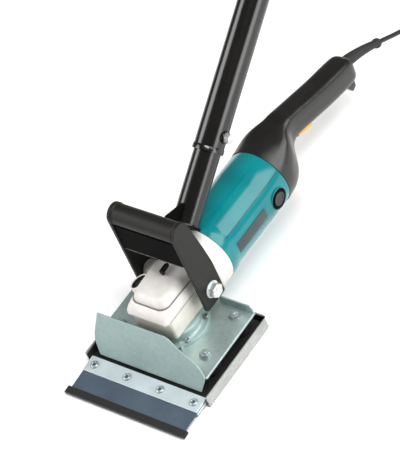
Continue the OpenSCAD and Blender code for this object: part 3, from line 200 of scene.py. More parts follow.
finish = {name: makeFinish(name, **spec) for name, spec in finishes.items()}
print("finishes made:", len(finish))


# camera, light and floor

camera = {"eye": (1.8393, -1.3314, 2.4111), "right": (0.7862, 0.5469, -0.2879),
          "up": (-0.2567, 0.7127, 0.6528), "back": (0.5622, -0.4393, 0.7007), "lens": 189.89,
          "sensor": 36, "reach": 60}
eyeData = bpy.data.cameras.new("viewCamera")
eyeData.lens = camera["lens"]
eyeData.sensor_width = camera["sensor"]
eyeData.clip_end = camera["reach"]
eye = bpy.data.objects.new("viewCamera", eyeData)
columns = [camera[key] for key in ("right", "up", "back", "eye")]
eye.matrix_world = Matrix([[column[i] for column in columns] for i in range(3)] + [[0, 0, 0, 1]])
bpy.context.scene.collection.objects.link(eye)
bpy.context.scene.camera = eye

studio = {
    # name: (place, aimed at, width, height, watts)
    "topBox": ((0.9, 0.05, 2.9), (0.0, 0.1, 0.0), 0.7, 1.6, 60),
    "keyBox": ((2.05, 1.45, 1.85), (0.0, 0.2, 0.1), 2.3, 2.2, 66),
    "fillBox": ((2.4, 0.3, 0.62), (0.0, 0.2, 0.2), 1.2, 1.0, 22),
    "frontStrip": ((-1.3, -1.9, 1.3), (0.0, 0.1, 0.15), 1.1, 1.6, 22),
    "poleStrip": ((-1.9, -0.7, 1.8), (0.0, 0.3, 0.3), 1.1, 1.2, 26),
}
for name, (place, aim, width, height, watts) in studio.items():
    lamp = bpy.data.lights.new(name, "AREA")
    lamp.shape = "RECTANGLE"
    lamp.size, lamp.size_y, lamp.energy = width, height, watts
    holder = bpy.data.objects.new(name, lamp)
    holder.location = place
    holder.rotation_mode = "QUATERNION"
    holder.rotation_quaternion = (Vector(aim) - Vector(place)).to_track_quat("-Z", "Y")
    bpy.context.scene.collection.objects.link(holder)
stage = {"air": 0.16, "floorHalf": 6, "floorZ": -0.0006,
         "paper": {"Base Color": (0.97, 0.97, 0.965, 1), "Roughness": 0.9, "Specular IOR Level": 0.1}}
world = bpy.data.worlds.new("studioAir")
world.use_nodes = True
world.node_tree.nodes["Background"].inputs["Color"].default_value = (1, 1, 1, 1)
world.node_tree.nodes["Background"].inputs["Strength"].default_value = stage["air"]
bpy.context.scene.world = world
bpy.context.scene.view_settings.view_transform = "Standard"

floorBm = bmesh.new()
bmesh.ops.create_grid(floorBm, x_segments=1, y_segments=1, size=stage["floorHalf"])
floorMesh = bpy.data.meshes.new("floor")
floorBm.to_mesh(floorMesh)
floor = bpy.data.objects.new("floor", floorMesh)
bpy.context.scene.collection.objects.link(floor)
floor.location.z = stage["floorZ"]
floorPaint = bpy.data.materials.new("floorPaper")
floorPaint.use_nodes = True
for key, value in stage["paper"].items():
    floorPaint.node_tree.nodes["Principled BSDF"].inputs[key].default_value = value
floor.data.materials.append(floorPaint)
print("camera and studio set")


# shaping helpers, all in millimetres until a piece is finished

def moved(x, y, z):
    return Matrix.Translation((x, y, z))


def turned(axis, degrees):
    return Matrix.Rotation(math.radians(degrees), 4, axis)


def alongY(y, z):
    return moved(0, y, z) @ turned("X", -90)


def alongX(x, y, z, side=1):
    return moved(x, y, z) @ turned("Y", 90 * side)


def tilted(origin, angle):
    return moved(*origin) @ turned("X", angle)


# stands a profile drawn in y and z upright, to be drawn out along x
acrossX = Matrix(((0, 0, 1, 0), (1, 0, 0, 0), (0, 1, 0, 0), (0, 0, 0, 1)))


def rectangle(x0, x1, y0, y1):
    return [(x0, y0), (x1, y0), (x1, y1), (x0, y1)]


def cut(bm, spot, normal, reach=0.001, drop=False):
    bmesh.ops.bisect_plane(bm, geom=bm.verts[:] + bm.edges[:] + bm.faces[:], plane_co=spot,
                           plane_no=normal, dist=reach, clear_outer=drop)


def prism(bm, points, depth, place=Matrix(), corners=(), radius=0.0, segments=6):
    # a flat outline drawn out straight, with the chosen corners rounded
    base = [bm.verts.new(place @ Vector((x, y, 0))) for x, y in points]
    made = bmesh.ops.extrude_face_region(bm, geom=[bm.faces.new(base)])["geom"]
    top = [g for g in made if isinstance(g, bmesh.types.BMVert)]
    bmesh.ops.translate(bm, verts=top, vec=place.to_3x3() @ Vector((0, 0, depth)))
    if radius:
        upright = [e for i in corners for e in base[i].link_edges if e.other_vert(base[i]) in top]
        bmesh.ops.bevel(bm, geom=upright, offset=radius, offset_type="OFFSET", affect="EDGES",
                        segments=segments, profile=0.5, material=-1)


def lathe(bm, profile, place=Matrix(), steps=64, turn=360, start=0):
    # a profile of (radius, height) turned about its axis
    old = set(bm.verts)
    spun = Matrix.Rotation(math.radians(start), 3, "Z")
    line = [bm.verts.new(spun @ Vector((r, 0, h))) for r, h in profile]
    edges = [bm.edges.new(pair) for pair in zip(line, line[1:])]
    bmesh.ops.spin(bm, geom=line + edges, cent=(0, 0, 0), axis=(0, 0, 1), angle=math.radians(turn),
                   steps=steps, use_merge=turn == 360)
    new = [v for v in bm.verts if v not in old]
    bmesh.ops.remove_doubles(bm, verts=new, dist=0.001)
    new = [v for v in bm.verts if v not in old]
    bmesh.ops.transform(bm, matrix=place, verts=new)


def hexHead(bm, radius, height, place=Matrix(), chamfer=0.9):
    made = bmesh.ops.create_cone(bm, cap_ends=True, segments=6, radius1=radius, radius2=radius,
                                 depth=height)["verts"]
    bmesh.ops.translate(bm, verts=made, vec=(0, 0, height / 2))
    rim = [e for e in bm.edges if all(v in made and v.co.z > height * 0.9 for v in e.verts)]
    bmesh.ops.transform(bm, matrix=place, verts=made)
    bmesh.ops.bevel(bm, geom=rim, offset=chamfer, offset_type="OFFSET", affect="EDGES", segments=2,
                    profile=0.5, material=-1)


def loft(bm, rings, count, closeStart=True, closeEnd=True):
    # each ring is a function from an angle to a point; neighbouring rings are bridged
    loops = []
    for ring in rings:
        made = bmesh.ops.create_circle(bm, segments=count, radius=1)["verts"]
        for k, v in enumerate(made):
            v.co = ring(2 * math.pi * (k + 0.5) / count)
        loops.append(made)
    for a, b in zip(loops, loops[1:]):
        edges = [e for loop in (a, b) for i, v in enumerate(loop)
                 for e in v.link_edges if e.other_vert(v) is loop[(i + 1) % count]]
        bmesh.ops.bridge_loops(bm, edges=list(set(edges)))
    for wanted, loop in ((closeStart, loops[0]), (closeEnd, loops[-1])):
        if wanted:
            bm.faces.new(loop)


def finishPiece(bm, name, body, nodes, material, bevel=0.0, segments=2, angle=32, wall=0.0):
    bmesh.ops.remove_doubles(bm, verts=bm.verts, dist=0.0005)
    bmesh.ops.recalc_face_normals(bm, faces=bm.faces)
    bmesh.ops.scale(bm, vec=(mm, mm, mm), verts=bm.verts)
    mesh = bpy.data.meshes.new(name)
    bm.to_mesh(mesh)
    bm.free()
    mesh.shade_smooth()
    mesh.set_sharp_from_angle(angle=math.radians(angle))
    mesh.materials.append(finish[material])
    piece = bpy.data.objects.new(name, mesh)
    bpy.context.scene.collection.objects.link(piece)
    if wall:
        shell = piece.modifiers.new("wall", "SOLIDIFY")
        shell.thickness = wall * mm
        shell.offset = -1
    if bevel:
        edge = piece.modifiers.new("edge", "BEVEL")
        edge.width = bevel * mm
        edge.segments = segments
        edge.limit_method = "ANGLE"
        edge.angle_limit = math.radians(angle)
        even = piece.modifiers.new("even", "WEIGHTED_NORMAL")
        even.keep_sharp = False
    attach(piece, body)
    if nodes:
        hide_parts(*nodes)
    return piece


# cord, coil, tie and plug

# points along the cord's middle, from the guard to the coil and from the coil to the plug
cordWay = {"radius": 3.5, "guardAt": (464, 86.96), "guardLen": 92, "drop": 23.3, "straight": 7,
           "coilY": 700, "coilZ": 4.6, "turns": 9, "steps": 24, "layers": 4, "meanR": 40, "pitch": 7.6,
           "down": [(0, 572, 38.6), (0, 588, 30.2), (0, 606, 21.4), (0, 624, 14), (0, 642, 8.8),
                    (0, 660, 5.8), (0, 676, 4.7), (0, 692, 4.6), (0, 700, 4.6)],
           "tail": [(0, 708, 27.4), (0.6, 720, 26.6), (3, 734, 23.6), (8, 748, 19.4), (17, 761, 15.6),
                    (29, 769, 13.5), (42, 772, 13), (52, 772, 13)]}


def cordPoints():
    w = cordWay
    drop = math.radians(w["drop"])
    exitY = w["guardAt"][0] + w["guardLen"] * math.cos(drop)
    exitZ = w["guardAt"][1] - w["guardLen"] * math.sin(drop)
    free = [(0, exitY, exitZ), (0, exitY + w["straight"] * math.cos(drop),
                                exitZ - w["straight"] * math.sin(drop))] + w["down"]
    layer = w["turns"] / w["layers"]
    outer = w["meanR"] + layer * w["pitch"] / 2
    inner = w["meanR"] - layer * w["pitch"] / 2
    coil = []
    for i in range(1, w["turns"] * w["steps"] + 1):
        t = i / w["steps"]
        lay = min(int(t / layer), w["layers"] - 1)
        share = t / layer - lay
        r = outer - share * (outer - inner) if lay % 2 == 0 else inner + share * (outer - inner)
        # the cord climbs one layer in half a turn
        rise = 0
        for j in range(1, w["layers"]):
            c = min(max((t - j * layer + 0.25) * 2, 0), 1)
            rise += c * c * (3 - 2 * c)
        a = 2 * math.pi * t
        coil.append((outer - r * math.cos(a), w["coilY"] + r * math.sin(a),
                     w["coilZ"] + w["pitch"] * rise))
    return free, coil, w["tail"]


def smoothLine(points, parts=4):
    # a curve through all points, each stretch in equal parts
    out = []
    for i in range(len(points) - 1):
        p0, p1 = Vector(points[max(i - 1, 0)]), Vector(points[i])
        p2, p3 = Vector(points[i + 1]), Vector(points[min(i + 2, len(points) - 1)])
        for k in range(parts):
            t = k / parts
            out.append(0.5 * (2 * p1 + (p2 - p0) * t + (2 * p0 - 5 * p1 + 4 * p2 - p3) * t * t
                              + (3 * p1 - p0 - 3 * p2 + p3) * t ** 3))
    out.append(Vector(points[-1]))
    return out


freeRun, coilRun, tailRun = cordPoints()
# the stretch into the coil is dropped, because the coil's own points take over there
cordLine = (smoothLine(freeRun + coilRun[:1])[:-4] + [Vector(p) for p in coilRun]
            + smoothLine([coilRun[-1]] + tailRun)[1:])
cordCurve = bpy.data.curves.new("powerCord", "CURVE")
cordCurve.dimensions = "3D"
cordCurve.bevel_depth = cordWay["radius"] * mm
cordCurve.bevel_resolution = 4
cordCurve.use_fill_caps = True
spline = cordCurve.splines.new("POLY")
spline.points.add(len(cordLine) - 1)
for point, place in zip(spline.points, cordLine):
    point.co = (place.x * mm, place.y * mm, place.z * mm, 1)
spline.use_smooth = True
cordCurve.materials.append(finish["cordJacket"])
powerCord = bpy.data.objects.new("powerCord", cordCurve)
bpy.context.scene.collection.objects.link(powerCord)
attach(powerCord, "machine")
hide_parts("power_cord", "cord_coil", "cord_tail")

plug = {"x": 52, "y": 772, "z": 13, "len": 40, "pinY": 9.5}
bm = bmesh.new()
lathe(bm, [(0, 0), (5.2, 0), (5.8, 1), (5.8, 3), (5, 3.6), (5, 5), (6.2, 5.6), (6.2, 7.6), (5.6, 8.2),
           (5.6, 9.6), (7, 10.5), (9.5, 14), (12.4, 17.5), (12.9, 20), (12.1, 22), (12.1, 31), (12.9, 33),
           (12.9, 38.8), (12, 40), (0, 40)], alongX(plug["x"], plug["y"], plug["z"]), 40)
plugBody = finishPiece(bm, "plugBody", "machine", ["plug_body"], "cordJacket", bevel=0.3)
bm = bmesh.new()
for side in (-plug["pinY"], plug["pinY"]):
    lathe(bm, [(0, 0), (2.4, 0), (2.4, 16.6), (1.8, 18.4), (0.9, 19), (0, 19)],
          alongX(plug["x"] + plug["len"], plug["y"] + side, plug["z"]), 24)
plugPins = finishPiece(bm, "plugPins", "machine", ["plug_pins"], "brassPin")

tie = {"x": (76.2, 100.9), "z": (0.8, 31.2), "y": 706, "wide": 12, "thick": 0.8, "round": 3.0}
bm = bmesh.new()
prism(bm, rectangle(*tie["x"], *tie["z"]), tie["wide"], tilted((0, tie["y"], 0), 90), (0, 1, 2, 3),
      tie["round"])
# a strap is a band, open on both sides
ends = [f for f in bm.faces if abs(f.normal.y) > 0.9]
bmesh.ops.delete(bm, geom=ends, context="FACES_ONLY")
coilTie = finishPiece(bm, "coilTie", "machine", ["coil_tie"], "tieNylon",
                      wall=-tie["thick"])

# the guard bends a little between the handle and the cord
guard = {"bend": 16,
         # (along the guard, radius)
         "rows": [(0, 0), (0, 8.4), (1, 9), (16, 9), (22, 8.6), (36, 7.9), (52, 7.1), (68, 6.4), (78, 6),
                  (81.5, 6.1), (82.6, 7.2), (83.6, 7.5), (88.4, 7.5), (89.6, 7), (91.6, 5.2), (92, 3.4)]}


def guardRing(along, r):
    drop = math.radians(cordWay["drop"])
    share = along / cordWay["guardLen"]
    bow = cordWay["guardLen"] * math.radians(guard["bend"]) / 2 * share * (1 - share)
    lean = drop - math.radians(guard["bend"]) * (0.5 - share)
    y = cordWay["guardAt"][0] + along * math.cos(drop) + bow * math.sin(drop)
    z = cordWay["guardAt"][1] - along * math.sin(drop) + bow * math.cos(drop)

    def at(angle):
        c, u = r * math.cos(angle), r * math.sin(angle)
        return Vector((c, y + u * math.sin(lean), z + u * math.cos(lean)))
    return at


bm = bmesh.new()
# a ring can't be a point, so the closed end keeps half a millimetre
loft(bm, [guardRing(along, max(r, 0.5)) for along, r in guard["rows"]], 40)
finishPiece(bm, "cordGuard", "machine", ["cord_guard"], "rubber", angle=40)


# blade end

blade = {"edge": (0, -143, 3.2), "tilt": 4, "half": 100, "len": 64, "thick": 1.2, "strip": (39, 64),
         "stripThick": 2.2, "stripRound": 1.5, "pitch": 58, "screwAt": 51.5, "screws": 4}
bladePlace = tilted(blade["edge"], blade["tilt"])

bm = bmesh.new()
prism(bm, [(0, 0.55), (6, 0), (blade["len"], 0), (blade["len"], blade["thick"]), (7, blade["thick"]),
           (0, 0.75)], 2 * blade["half"], bladePlace @ moved(-blade["half"], 0, 0) @ acrossX)
finishPiece(bm, "blade", "carriage", ["blade"], "springSteel", bevel=0.12)

bm = bmesh.new()
prism(bm, rectangle(-blade["half"], blade["half"], *blade["strip"]), blade["stripThick"],
      bladePlace @ moved(0, 0, blade["thick"]), (0, 1, 2, 3), blade["stripRound"])
finishPiece(bm, "clampStrip", "carriage", ["clamp_strip"], "brightZinc", bevel=0.45)

screwTops = [bladePlace @ moved((i - (blade["screws"] - 1) / 2) * blade["pitch"], blade["screwAt"],
                                blade["thick"] + blade["stripThick"]) for i in range(blade["screws"])]
bm = bmesh.new()
for top in screwTops:
    lathe(bm, [(0, 0.9), (2.6, 0.9), (2.8, 2), (3.6, 2.4), (5, 2.1), (6.1, 1.3), (6.5, 0.4), (6.5, 0),
               (3, 0), (3, -3), (0, -3)], top, 32)
finishPiece(bm, "clampScrews", "carriage", ["clamp_screws"], "dullZinc")
# a thin six sided floor in each screw's socket, darker than the screw: painted shade of the hex hole
socket = {"r": 2.55, "deep": 0.12, "floor": 0.92, "chamfer": 0.02}
bm = bmesh.new()
for top in screwTops:
    hexHead(bm, socket["r"], socket["deep"], top @ moved(0, 0, socket["floor"]), socket["chamfer"])
finishPiece(bm, "clampSockets", "carriage", [], "springSteel")

# a U strip that grips the edge, drawn as its end profile
edgeGuard = {"half": 104.5,
             "profile": [(-0.9, -1.6), (9.6, -1.6), (10, -1.2), (10, -0.5), (9.6, -0.3), (-0.3, -0.3),
                         (-0.3, 1.5), (9.2, 1.5), (10, 1.6), (10, 2.1), (9.4, 2.8), (-0.9, 2.8),
                         (-1.6, 2.1), (-1.6, -0.9)]}
bm = bmesh.new()
prism(bm, edgeGuard["profile"], 2 * edgeGuard["half"],
      bladePlace @ moved(-edgeGuard["half"], 0, 0) @ acrossX)
finishPiece(bm, "bladeGuard", "guard", ["blade_guard"], "blackStrip", bevel=0.2)

tray = {"half": 107, "fore": -84, "aft": 67, "floor": 3, "wall": 2.5, "high": 19, "round": 9,
        "floorRound": 6.0, "tongue": (100, -104.1)}


def wallPlan(half, aft, thick):
    # two side walls and a rear wall in one band, open in front
    fore = tray["fore"]
    return [(-half, fore), (-half, aft), (half, aft), (half, fore), (half - thick, fore),
            (half - thick, aft - thick), (thick - half, aft - thick), (thick - half, fore)]


inHalf, inAft = tray["half"] - tray["wall"], tray["aft"] - tray["wall"]
tongueHalf, tongueFore = tray["tongue"]
bm = bmesh.new()
prism(bm, wallPlan(tray["half"], tray["aft"], tray["wall"]), tray["high"], Matrix(), (1, 2),
      tray["round"], 8)
prism(bm, [(-inHalf, tray["fore"]), (-tongueHalf, tray["fore"]), (-tongueHalf, tongueFore),
           (tongueHalf, tongueFore), (tongueHalf, tray["fore"]), (inHalf, tray["fore"]), (inHalf, inAft),
           (-inHalf, inAft)], tray["floor"], Matrix(), (6, 7), tray["floorRound"])
finishPiece(bm, "trayPan", "carriage", ["tray"], "traySheet", bevel=0.5)

# a thin black sheet over the tray's floor and up its walls, painted shade under the base plate
shadeSheet = {"thick": 0.25, "lip": 16.5, "gap": 0.05, "round": 6.4, "margin": 0.5}
inHalf, inAft, onFloor = inHalf - shadeSheet["gap"], inAft - shadeSheet["gap"], moved(0, 0, tray["floor"])
bm = bmesh.new()
prism(bm, rectangle(-inHalf, inHalf, tray["fore"], inAft), shadeSheet["thick"], onFloor, (2, 3),
      shadeSheet["round"])
prism(bm, wallPlan(inHalf, inAft, shadeSheet["thick"]), shadeSheet["lip"] - tray["floor"], onFloor, (1, 2),
      shadeSheet["round"])
tongueHalf, tongueFore = tongueHalf - shadeSheet["margin"], tongueFore + shadeSheet["margin"]
prism(bm, rectangle(-tongueHalf, tongueHalf, tongueFore, tray["fore"]), shadeSheet["thick"], onFloor)
finishPiece(bm, "trayLiner", "carriage", [], "rubber")


# sprung base

base = {"half": 97.5, "fore": -63.5, "aft": 57, "low": 30, "top": 34, "round": 2.0, "tab": 48,
        "tabThick": 2.5, "tabGap": 40, "tabRound": 5.0, "sink": 0.2, "bend": (2.2, 4.2)}
bm = bmesh.new()
prism(bm, rectangle(-base["half"], base["half"], base["fore"], base["aft"]), base["top"] - base["low"],
      moved(0, 0, base["low"]), (0, 1), base["round"], 4)
for side in (-1, 1):
    inner, outer = side * base["tabGap"], side * base["half"]
    prism(bm, rectangle(inner, outer, base["top"] - base["sink"], base["tab"]), base["tabThick"],
          tilted((0, base["aft"], 0), 90), (2, 3), base["tabRound"], 5)
    # turned-up edge of the sheet
    left, right = sorted((inner, outer))
    inBend, outBend = base["bend"]
    lathe(bm, [(inBend, left), (outBend, left), (outBend, right), (inBend, right), (inBend, left)],
          alongX(0, base["aft"] - outBend, base["top"] + base["sink"]), 8, 90)
finishPiece(bm, "basePlate", "machine", ["base_plate"], "zincPlate", bevel=0.5)

deflector = {"lean": 20.9, "lipLean": 27, "foot": 11, "crease": 56, "thick": 2.5,
             "bends": 5, "bendStep": 1.5,
             # (across, height) up the left edge and down the right one
             "left": [(-89, 11), (-91.5, 18), (-94.6, 27), (-96.3, 34), (-95.6, 42), (-93.2, 51),
                      (-92, 57), (-90.2, 66), (-89, 73.4)],
             "right": [(29.5, 74), (37, 71.6), (45.6, 67), (52, 63.4), (59, 60.5), (68, 57.2),
                       (76.4, 53.9), (83, 50.2), (88.5, 45.7), (93, 40.2), (96, 34.5), (96.5, 33),
                       (94.4, 26), (91.2, 17.5), (89, 11)]}
lean = math.radians(deflector["lean"])
bm = bmesh.new()
footY = base["fore"] - (base["top"] - deflector["foot"]) * math.tan(lean)
sheetPlace = tilted((0, footY, deflector["foot"]), 90 - deflector["lean"])
outline = [(x, (z - deflector["foot"]) / math.cos(lean))
           for x, z in deflector["left"] + deflector["right"]]
prism(bm, list(reversed(outline)), deflector["thick"], sheetPlace)
creaseAt = (deflector["crease"] - deflector["foot"]) / math.cos(lean)
upAlong = sheetPlace.to_3x3() @ Vector((0, 1, 0))
bend = turned("X", (deflector["lean"] - deflector["lipLean"]) / deflector["bends"]).to_3x3()
for part in range(deflector["bends"]):
    # the lip is turned back in small steps, so that the crease is a soft bend
    along = creaseAt + (part - deflector["bends"] // 2) * deflector["bendStep"]
    spot = sheetPlace @ Vector((0, along, 0))
    cut(bm, spot, upAlong, 0.01)
    above = [v for v in bm.verts if (v.co - spot).dot(upAlong) > 0.05]
    bmesh.ops.rotate(bm, verts=above, cent=spot, matrix=bend)
    upAlong = bend @ upAlong
finishPiece(bm, "deflector", "machine", ["deflector"], "zincSheet", bevel=0.9, segments=3,
            angle=40)

brace = {"angle": 49, "thick": 3, "start": 51, "slope": 6, "high": 23, "short": 1.9}
away = math.radians(brace["angle"])
low, high = base["top"], base["top"] + brace["high"]
lowReach, highReach = [-(base["fore"] + rise * math.tan(lean)) / math.cos(away) - brace["short"]
                       for rise in (0, brace["high"])]
bm = bmesh.new()
for side in (-1, 1):
    outward = Matrix(((side * math.sin(away), 0, -side * math.cos(away), 0),
                      (-math.cos(away), 0, -math.sin(away), 0), (0, 1, 0, 0), (0, 0, 0, 1)))
    prism(bm, [(brace["start"], low), (lowReach, low), (highReach, high),
               (brace["start"] + brace["slope"], high)],
          brace["thick"], outward @ moved(0, 0, -brace["thick"] / 2))
finishPiece(bm, "deflectorBraces", "machine", ["deflector_braces"], "zincSheet", bevel=0.4)

buffer = {"x": (-74, 74), "y": (-31, 41), "washerTop": 35.6, "nutR": 7.4, "nutHigh": 4.6,
          "nutChamfer": 0.8, "twist": 20}
bufferSpots = [(x, y) for x in buffer["x"] for y in buffer["y"]]
bm = bmesh.new()
for x, y in bufferSpots:
    lathe(bm, [(0, 3.3), (13.4, 3.3), (14, 4), (13.9, 5.5), (12.7, 9), (12.2, 15), (12.4, 21),
               (13.6, 26.6), (14, 28.6), (14, 30), (0, 30)], moved(x, y, 0), 40)
finishPiece(bm, "rubberBuffers", "machine", ["rubber_buffers"], "rubber")

bm = bmesh.new()
for x, y in bufferSpots:
    lathe(bm, [(0, 34), (8.6, 34), (8.8, 34.3), (8.8, 35.3), (8.5, 35.6), (0, 35.6)], moved(x, y, 0), 40)
    # no two nuts stand at the same angle
    hexHead(bm, buffer["nutR"], buffer["nutHigh"],
            moved(x, y, buffer["washerTop"]) @ turned("Z", buffer["twist"] + x + y), buffer["nutChamfer"])
    lathe(bm, [(0, 40), (3.4, 40), (3.4, 41.4), (2.8, 42), (0, 42)], moved(x, y, 0), 24)
finishPiece(bm, "bufferBolts", "machine", ["buffer_bolts"], "dullZinc", bevel=0.15)

bm = bmesh.new()
lathe(bm, [(24.1, 34), (50, 34), (50, 38), (49.4, 38.8), (48.4, 39), (44, 39.2), (42.4, 40), (41.4, 41.6),
           (41, 44), (41, 50.8), (40.6, 51.6), (39.8, 52), (24.1, 52), (24.1, 34)], Matrix(), 96)
finishPiece(bm, "collarRing", "machine", ["collar"], "zincSheet", angle=40)

collarScrew = {"turns": (-30, 30, 150, 210), "out": 45.5, "up": 39}
bm = bmesh.new()
for angle in collarScrew["turns"]:
    spot = turned("Z", angle) @ moved(collarScrew["out"], 0, collarScrew["up"])
    lathe(bm, [(0, 1.6), (1.6, 1.6), (1.7, 3.6), (2.2, 3.9), (3.4, 3.7), (3.9, 3), (3.9, 0), (2.2, 0),
               (2.2, -5), (0, -5)], spot, 24)
finishPiece(bm, "collarScrews", "machine", ["collar_screws"], "dullZinc")


# gear head

motor = {"axis": 80, "brushY": 215}
# the yoke's bolts and the bosses they go into
pivot = {"y": 37, "z": 90}
# the side handle's boss
boss = {"mouth": (-35.7, 0, 108.69), "lean": 65}


def roundedPlan(z, frontHalf, rearHalf, fore, aft, frontRound, rearRound):
    def at(angle):
        c, s = math.cos(angle), math.sin(angle)
        half, end, r = (rearHalf, aft, rearRound) if s > 0 else (frontHalf, fore, frontRound)
        return Vector((math.copysign(half - r, c) + r * c, end - math.copysign(r, s) + r * s, z))
    return at


# an open shell: the levels are (height, inset) up the outside and down the inside
case = {"half": 35.5, "fore": -35.5, "aft": 43.5, "round": 6, "rearRound": 3,
        "levels": ((52, 2.4), (52.5, 1.2), (53.6, 0.3), (55.4, 0), (79.95, 0), (79.95, 4), (56, 4))}


def caseRing(z, inset=0):
    half = case["half"] - inset
    return roundedPlan(z, half, half, case["fore"] + inset, case["aft"] - inset, case["round"] - inset,
                       case["rearRound"])


bm = bmesh.new()
loft(bm, [caseRing(*level) for level in case["levels"]], 64)
lathe(bm, [(0, 38), (23.4, 38), (24, 38.8), (24, 52.4), (0, 52.4)], Matrix(), 64)
finishPiece(bm, "lowerGearCase", "machine", ["lower_gear_case"], "castShade", angle=40)

# the head's skirt stands over the case, and a crease runs around the crown above it
head = {"foot": (80.05, 88.4),
        # (height, front half, rear half, front end, rear end, front round, rear round)
        "levels": ((88, 34.6, 35.2, -41, 46.4, 5, 6), (88.3, 35.2, 35.8, -41.7, 47, 5.6, 6),
                   (89, 35.5, 36, -42, 48, 6, 6), (93, 35.4, 36, -41.6, 48, 6.4, 6),
                   (98, 34.4, 35.4, -39, 47.8, 8, 8), (102, 32.9, 34.2, -35.4, 47.4, 11, 10),
                   (104.6, 31.8, 33.2, -32.4, 47, 13.6, 11), (105.4, 31.2, 32.7, -31.4, 46.8, 14.4, 12),
                   (105.6, 30.1, 31.7, -30.2, 46, 14.4, 12), (106.1, 29.9, 31.5, -30, 45.8, 14.4, 12),
                   (107.4, 30, 31.6, -30.2, 45.8, 14.8, 12), (110.8, 29, 30.8, -28.9, 45, 15.2, 12),
                   (114.2, 27.2, 29.2, -26.6, 44, 15.4, 12), (116.4, 24.6, 26.8, -23.6, 42, 15.4, 12),
                   (117.6, 21.2, 23.6, -19.8, 40, 15, 12), (118, 16.5, 19, -14.8, 36, 14, 12))}
bm = bmesh.new()
loft(bm, [caseRing(z) for z in head["foot"]], 96)
loft(bm, [roundedPlan(*level) for level in head["levels"]], 96)
lathe(bm, [(20, 44), (36.4, 44), (37.8, 45), (44.4, 55.4), (48.8, 62.4), (50.5, 65.8), (51, 68), (51, 91),
           (50.4, 91.9), (40, 92), (40, 80), (20, 78), (20, 44)], alongY(0, motor["axis"]), 96)
for side in (-1, 1):
    lathe(bm, [(6.1, 26), (13.6, 26), (12.6, 40), (12.5, 49.4), (12, 50), (6.1, 50), (6.1, 26)],
          alongX(0, pivot["y"], pivot["z"], side), 48)
sideBoss = moved(*boss["mouth"]) @ turned("Y", boss["lean"] - 90)
lathe(bm, [(7, -17.6), (7, -4), (12, -3.9), (12.2, -3.6), (12.2, -0.8), (12.6, -0.2), (13.1, 0),
           (14.1, 0), (14.7, -0.3), (15, -1.2), (15.1, -10), (15.6, -16), (17, -24), (0, -24)],
      sideBoss, 64)
finishPiece(bm, "gearHousing", "machine", ["gear_housing"], "castAluminium", angle=36)
# painted shade darkens the crease around the crown and the gap under the skirt
creaseShadeBands = [((105.1, 31.5, 33, -31.9, 46.6, 14, 12), (106.5, 30.4, 31.9, -30.6, 45.9, 14.6, 12)),
           ((87, 35.6, 35.6, -35.6, 43, 6, 3), (88.05, 35.6, 35.6, -35.6, 43, 6, 3))]
bm = bmesh.new()
for low, high in creaseShadeBands:
    loft(bm, [roundedPlan(*low), roundedPlan(*high)], 96, False, False)
finishPiece(bm, "headCreases", "machine", [], "castGrime")
# the tapped hole and its counterbore are dark inside: painted shade
bm = bmesh.new()
lathe(bm, [(0, -17.5), (6.9, -17.5), (6.9, -4.1), (6.4, -4.4), (6.9, -4.9), (6.4, -5.4), (6.9, -6)],
      sideBoss, 40)
lathe(bm, [(6.9, -3.95), (12.05, -3.85), (12.1, -0.7)], sideBoss, 40)
finishPiece(bm, "sideThread", "machine", [], "blackSteel")

# the shaft lock is a pin under an oblong cap, whose levels are (height, inset)
lock = {"x": -1.9, "y": 18, "r": 4, "long": 10.5,
        "levels": ((122.35, 0.5), (122.6, 0.1), (124.4, 0), (125, 0.3), (125.4, 1), (125.5, 1.8),
                   (125.1, 2.6))}
bm = bmesh.new()
lathe(bm, [(0, 79), (3, 79), (3, 123), (0, 123)], moved(lock["x"], lock["y"], 0), 32)


def lockRing(z, inset):
    def at(angle):
        r = lock["r"] - inset
        end = lock["y"] + (lock["long"] if math.sin(angle) > 0 else 0)
        return Vector((lock["x"] + r * math.cos(angle), end + r * math.sin(angle), z))
    return at


loft(bm, [lockRing(*level) for level in lock["levels"]], 48)
finishPiece(bm, "shaftLock", "shaft_lock", ["shaft_lock"], "blackNylon")


# motor

bm = bmesh.new()
lathe(bm, [(47.8, 92), (50.4, 92), (51, 92.6), (51, 99.6), (50.7, 102.6), (49.8, 107.6), (48.9, 111.6),
           (48.5, 115), (48.5, 188), (48.6, 191), (48.9, 196.4), (49, 199.4), (49, 238.6), (48.6, 239.6),
           (47.8, 240), (45.8, 240), (45.8, 236), (13, 236), (13, 227), (45.8, 227), (45.8, 200),
           (45.3, 190), (45.3, 114), (47.8, 101), (47.8, 92)], alongY(0, motor["axis"]), 128)
finishPiece(bm, "motorHousing", "machine", ["motor_housing"], "tealNylon", angle=40)

# moulding line along both shoulders of the housing
line = {"starts": (-36.2, 215), "wide": 1.2}
bm = bmesh.new()
for first in line["starts"]:
    lathe(bm, [(48.3, 108.4), (49.9, 108.4), (48.95, 113), (48.7, 116), (48.7, 188), (48.8, 191),
               (49.1, 196.4), (49.2, 199.4), (49.2, 238), (48.3, 238), (48.3, 108.4)],
          alongY(0, motor["axis"]), 2, line["wide"], first)
finishPiece(bm, "mouldingLines", "machine", [], "blackNylon")

# bare plates; low and high are angles around the motor, in degrees above its side
plate = {"fore": 115.6, "aft": 184.6, "low": -5.7, "high": 14.4, "in": 48.4, "rim": 49.2, "out": 49.3,
         "edge": 0.5}
plateProfile = [(plate["in"], plate["fore"]), (plate["rim"], plate["fore"]),
                (plate["out"], plate["fore"] + plate["edge"]),
                (plate["out"], plate["aft"] - plate["edge"]), (plate["rim"], plate["aft"]),
                (plate["in"], plate["aft"]), (plate["in"], plate["fore"])]
bm = bmesh.new()
for first in (-plate["high"], 180 + plate["low"]):
    lathe(bm, plateProfile, alongY(0, motor["axis"]), 14, plate["high"] - plate["low"], first)
finishPiece(bm, "namePlates", "machine", ["name_plates"], "plateFilm")

brushSpots = [alongX(0, motor["brushY"], motor["axis"], side) for side in (-1, 1)]
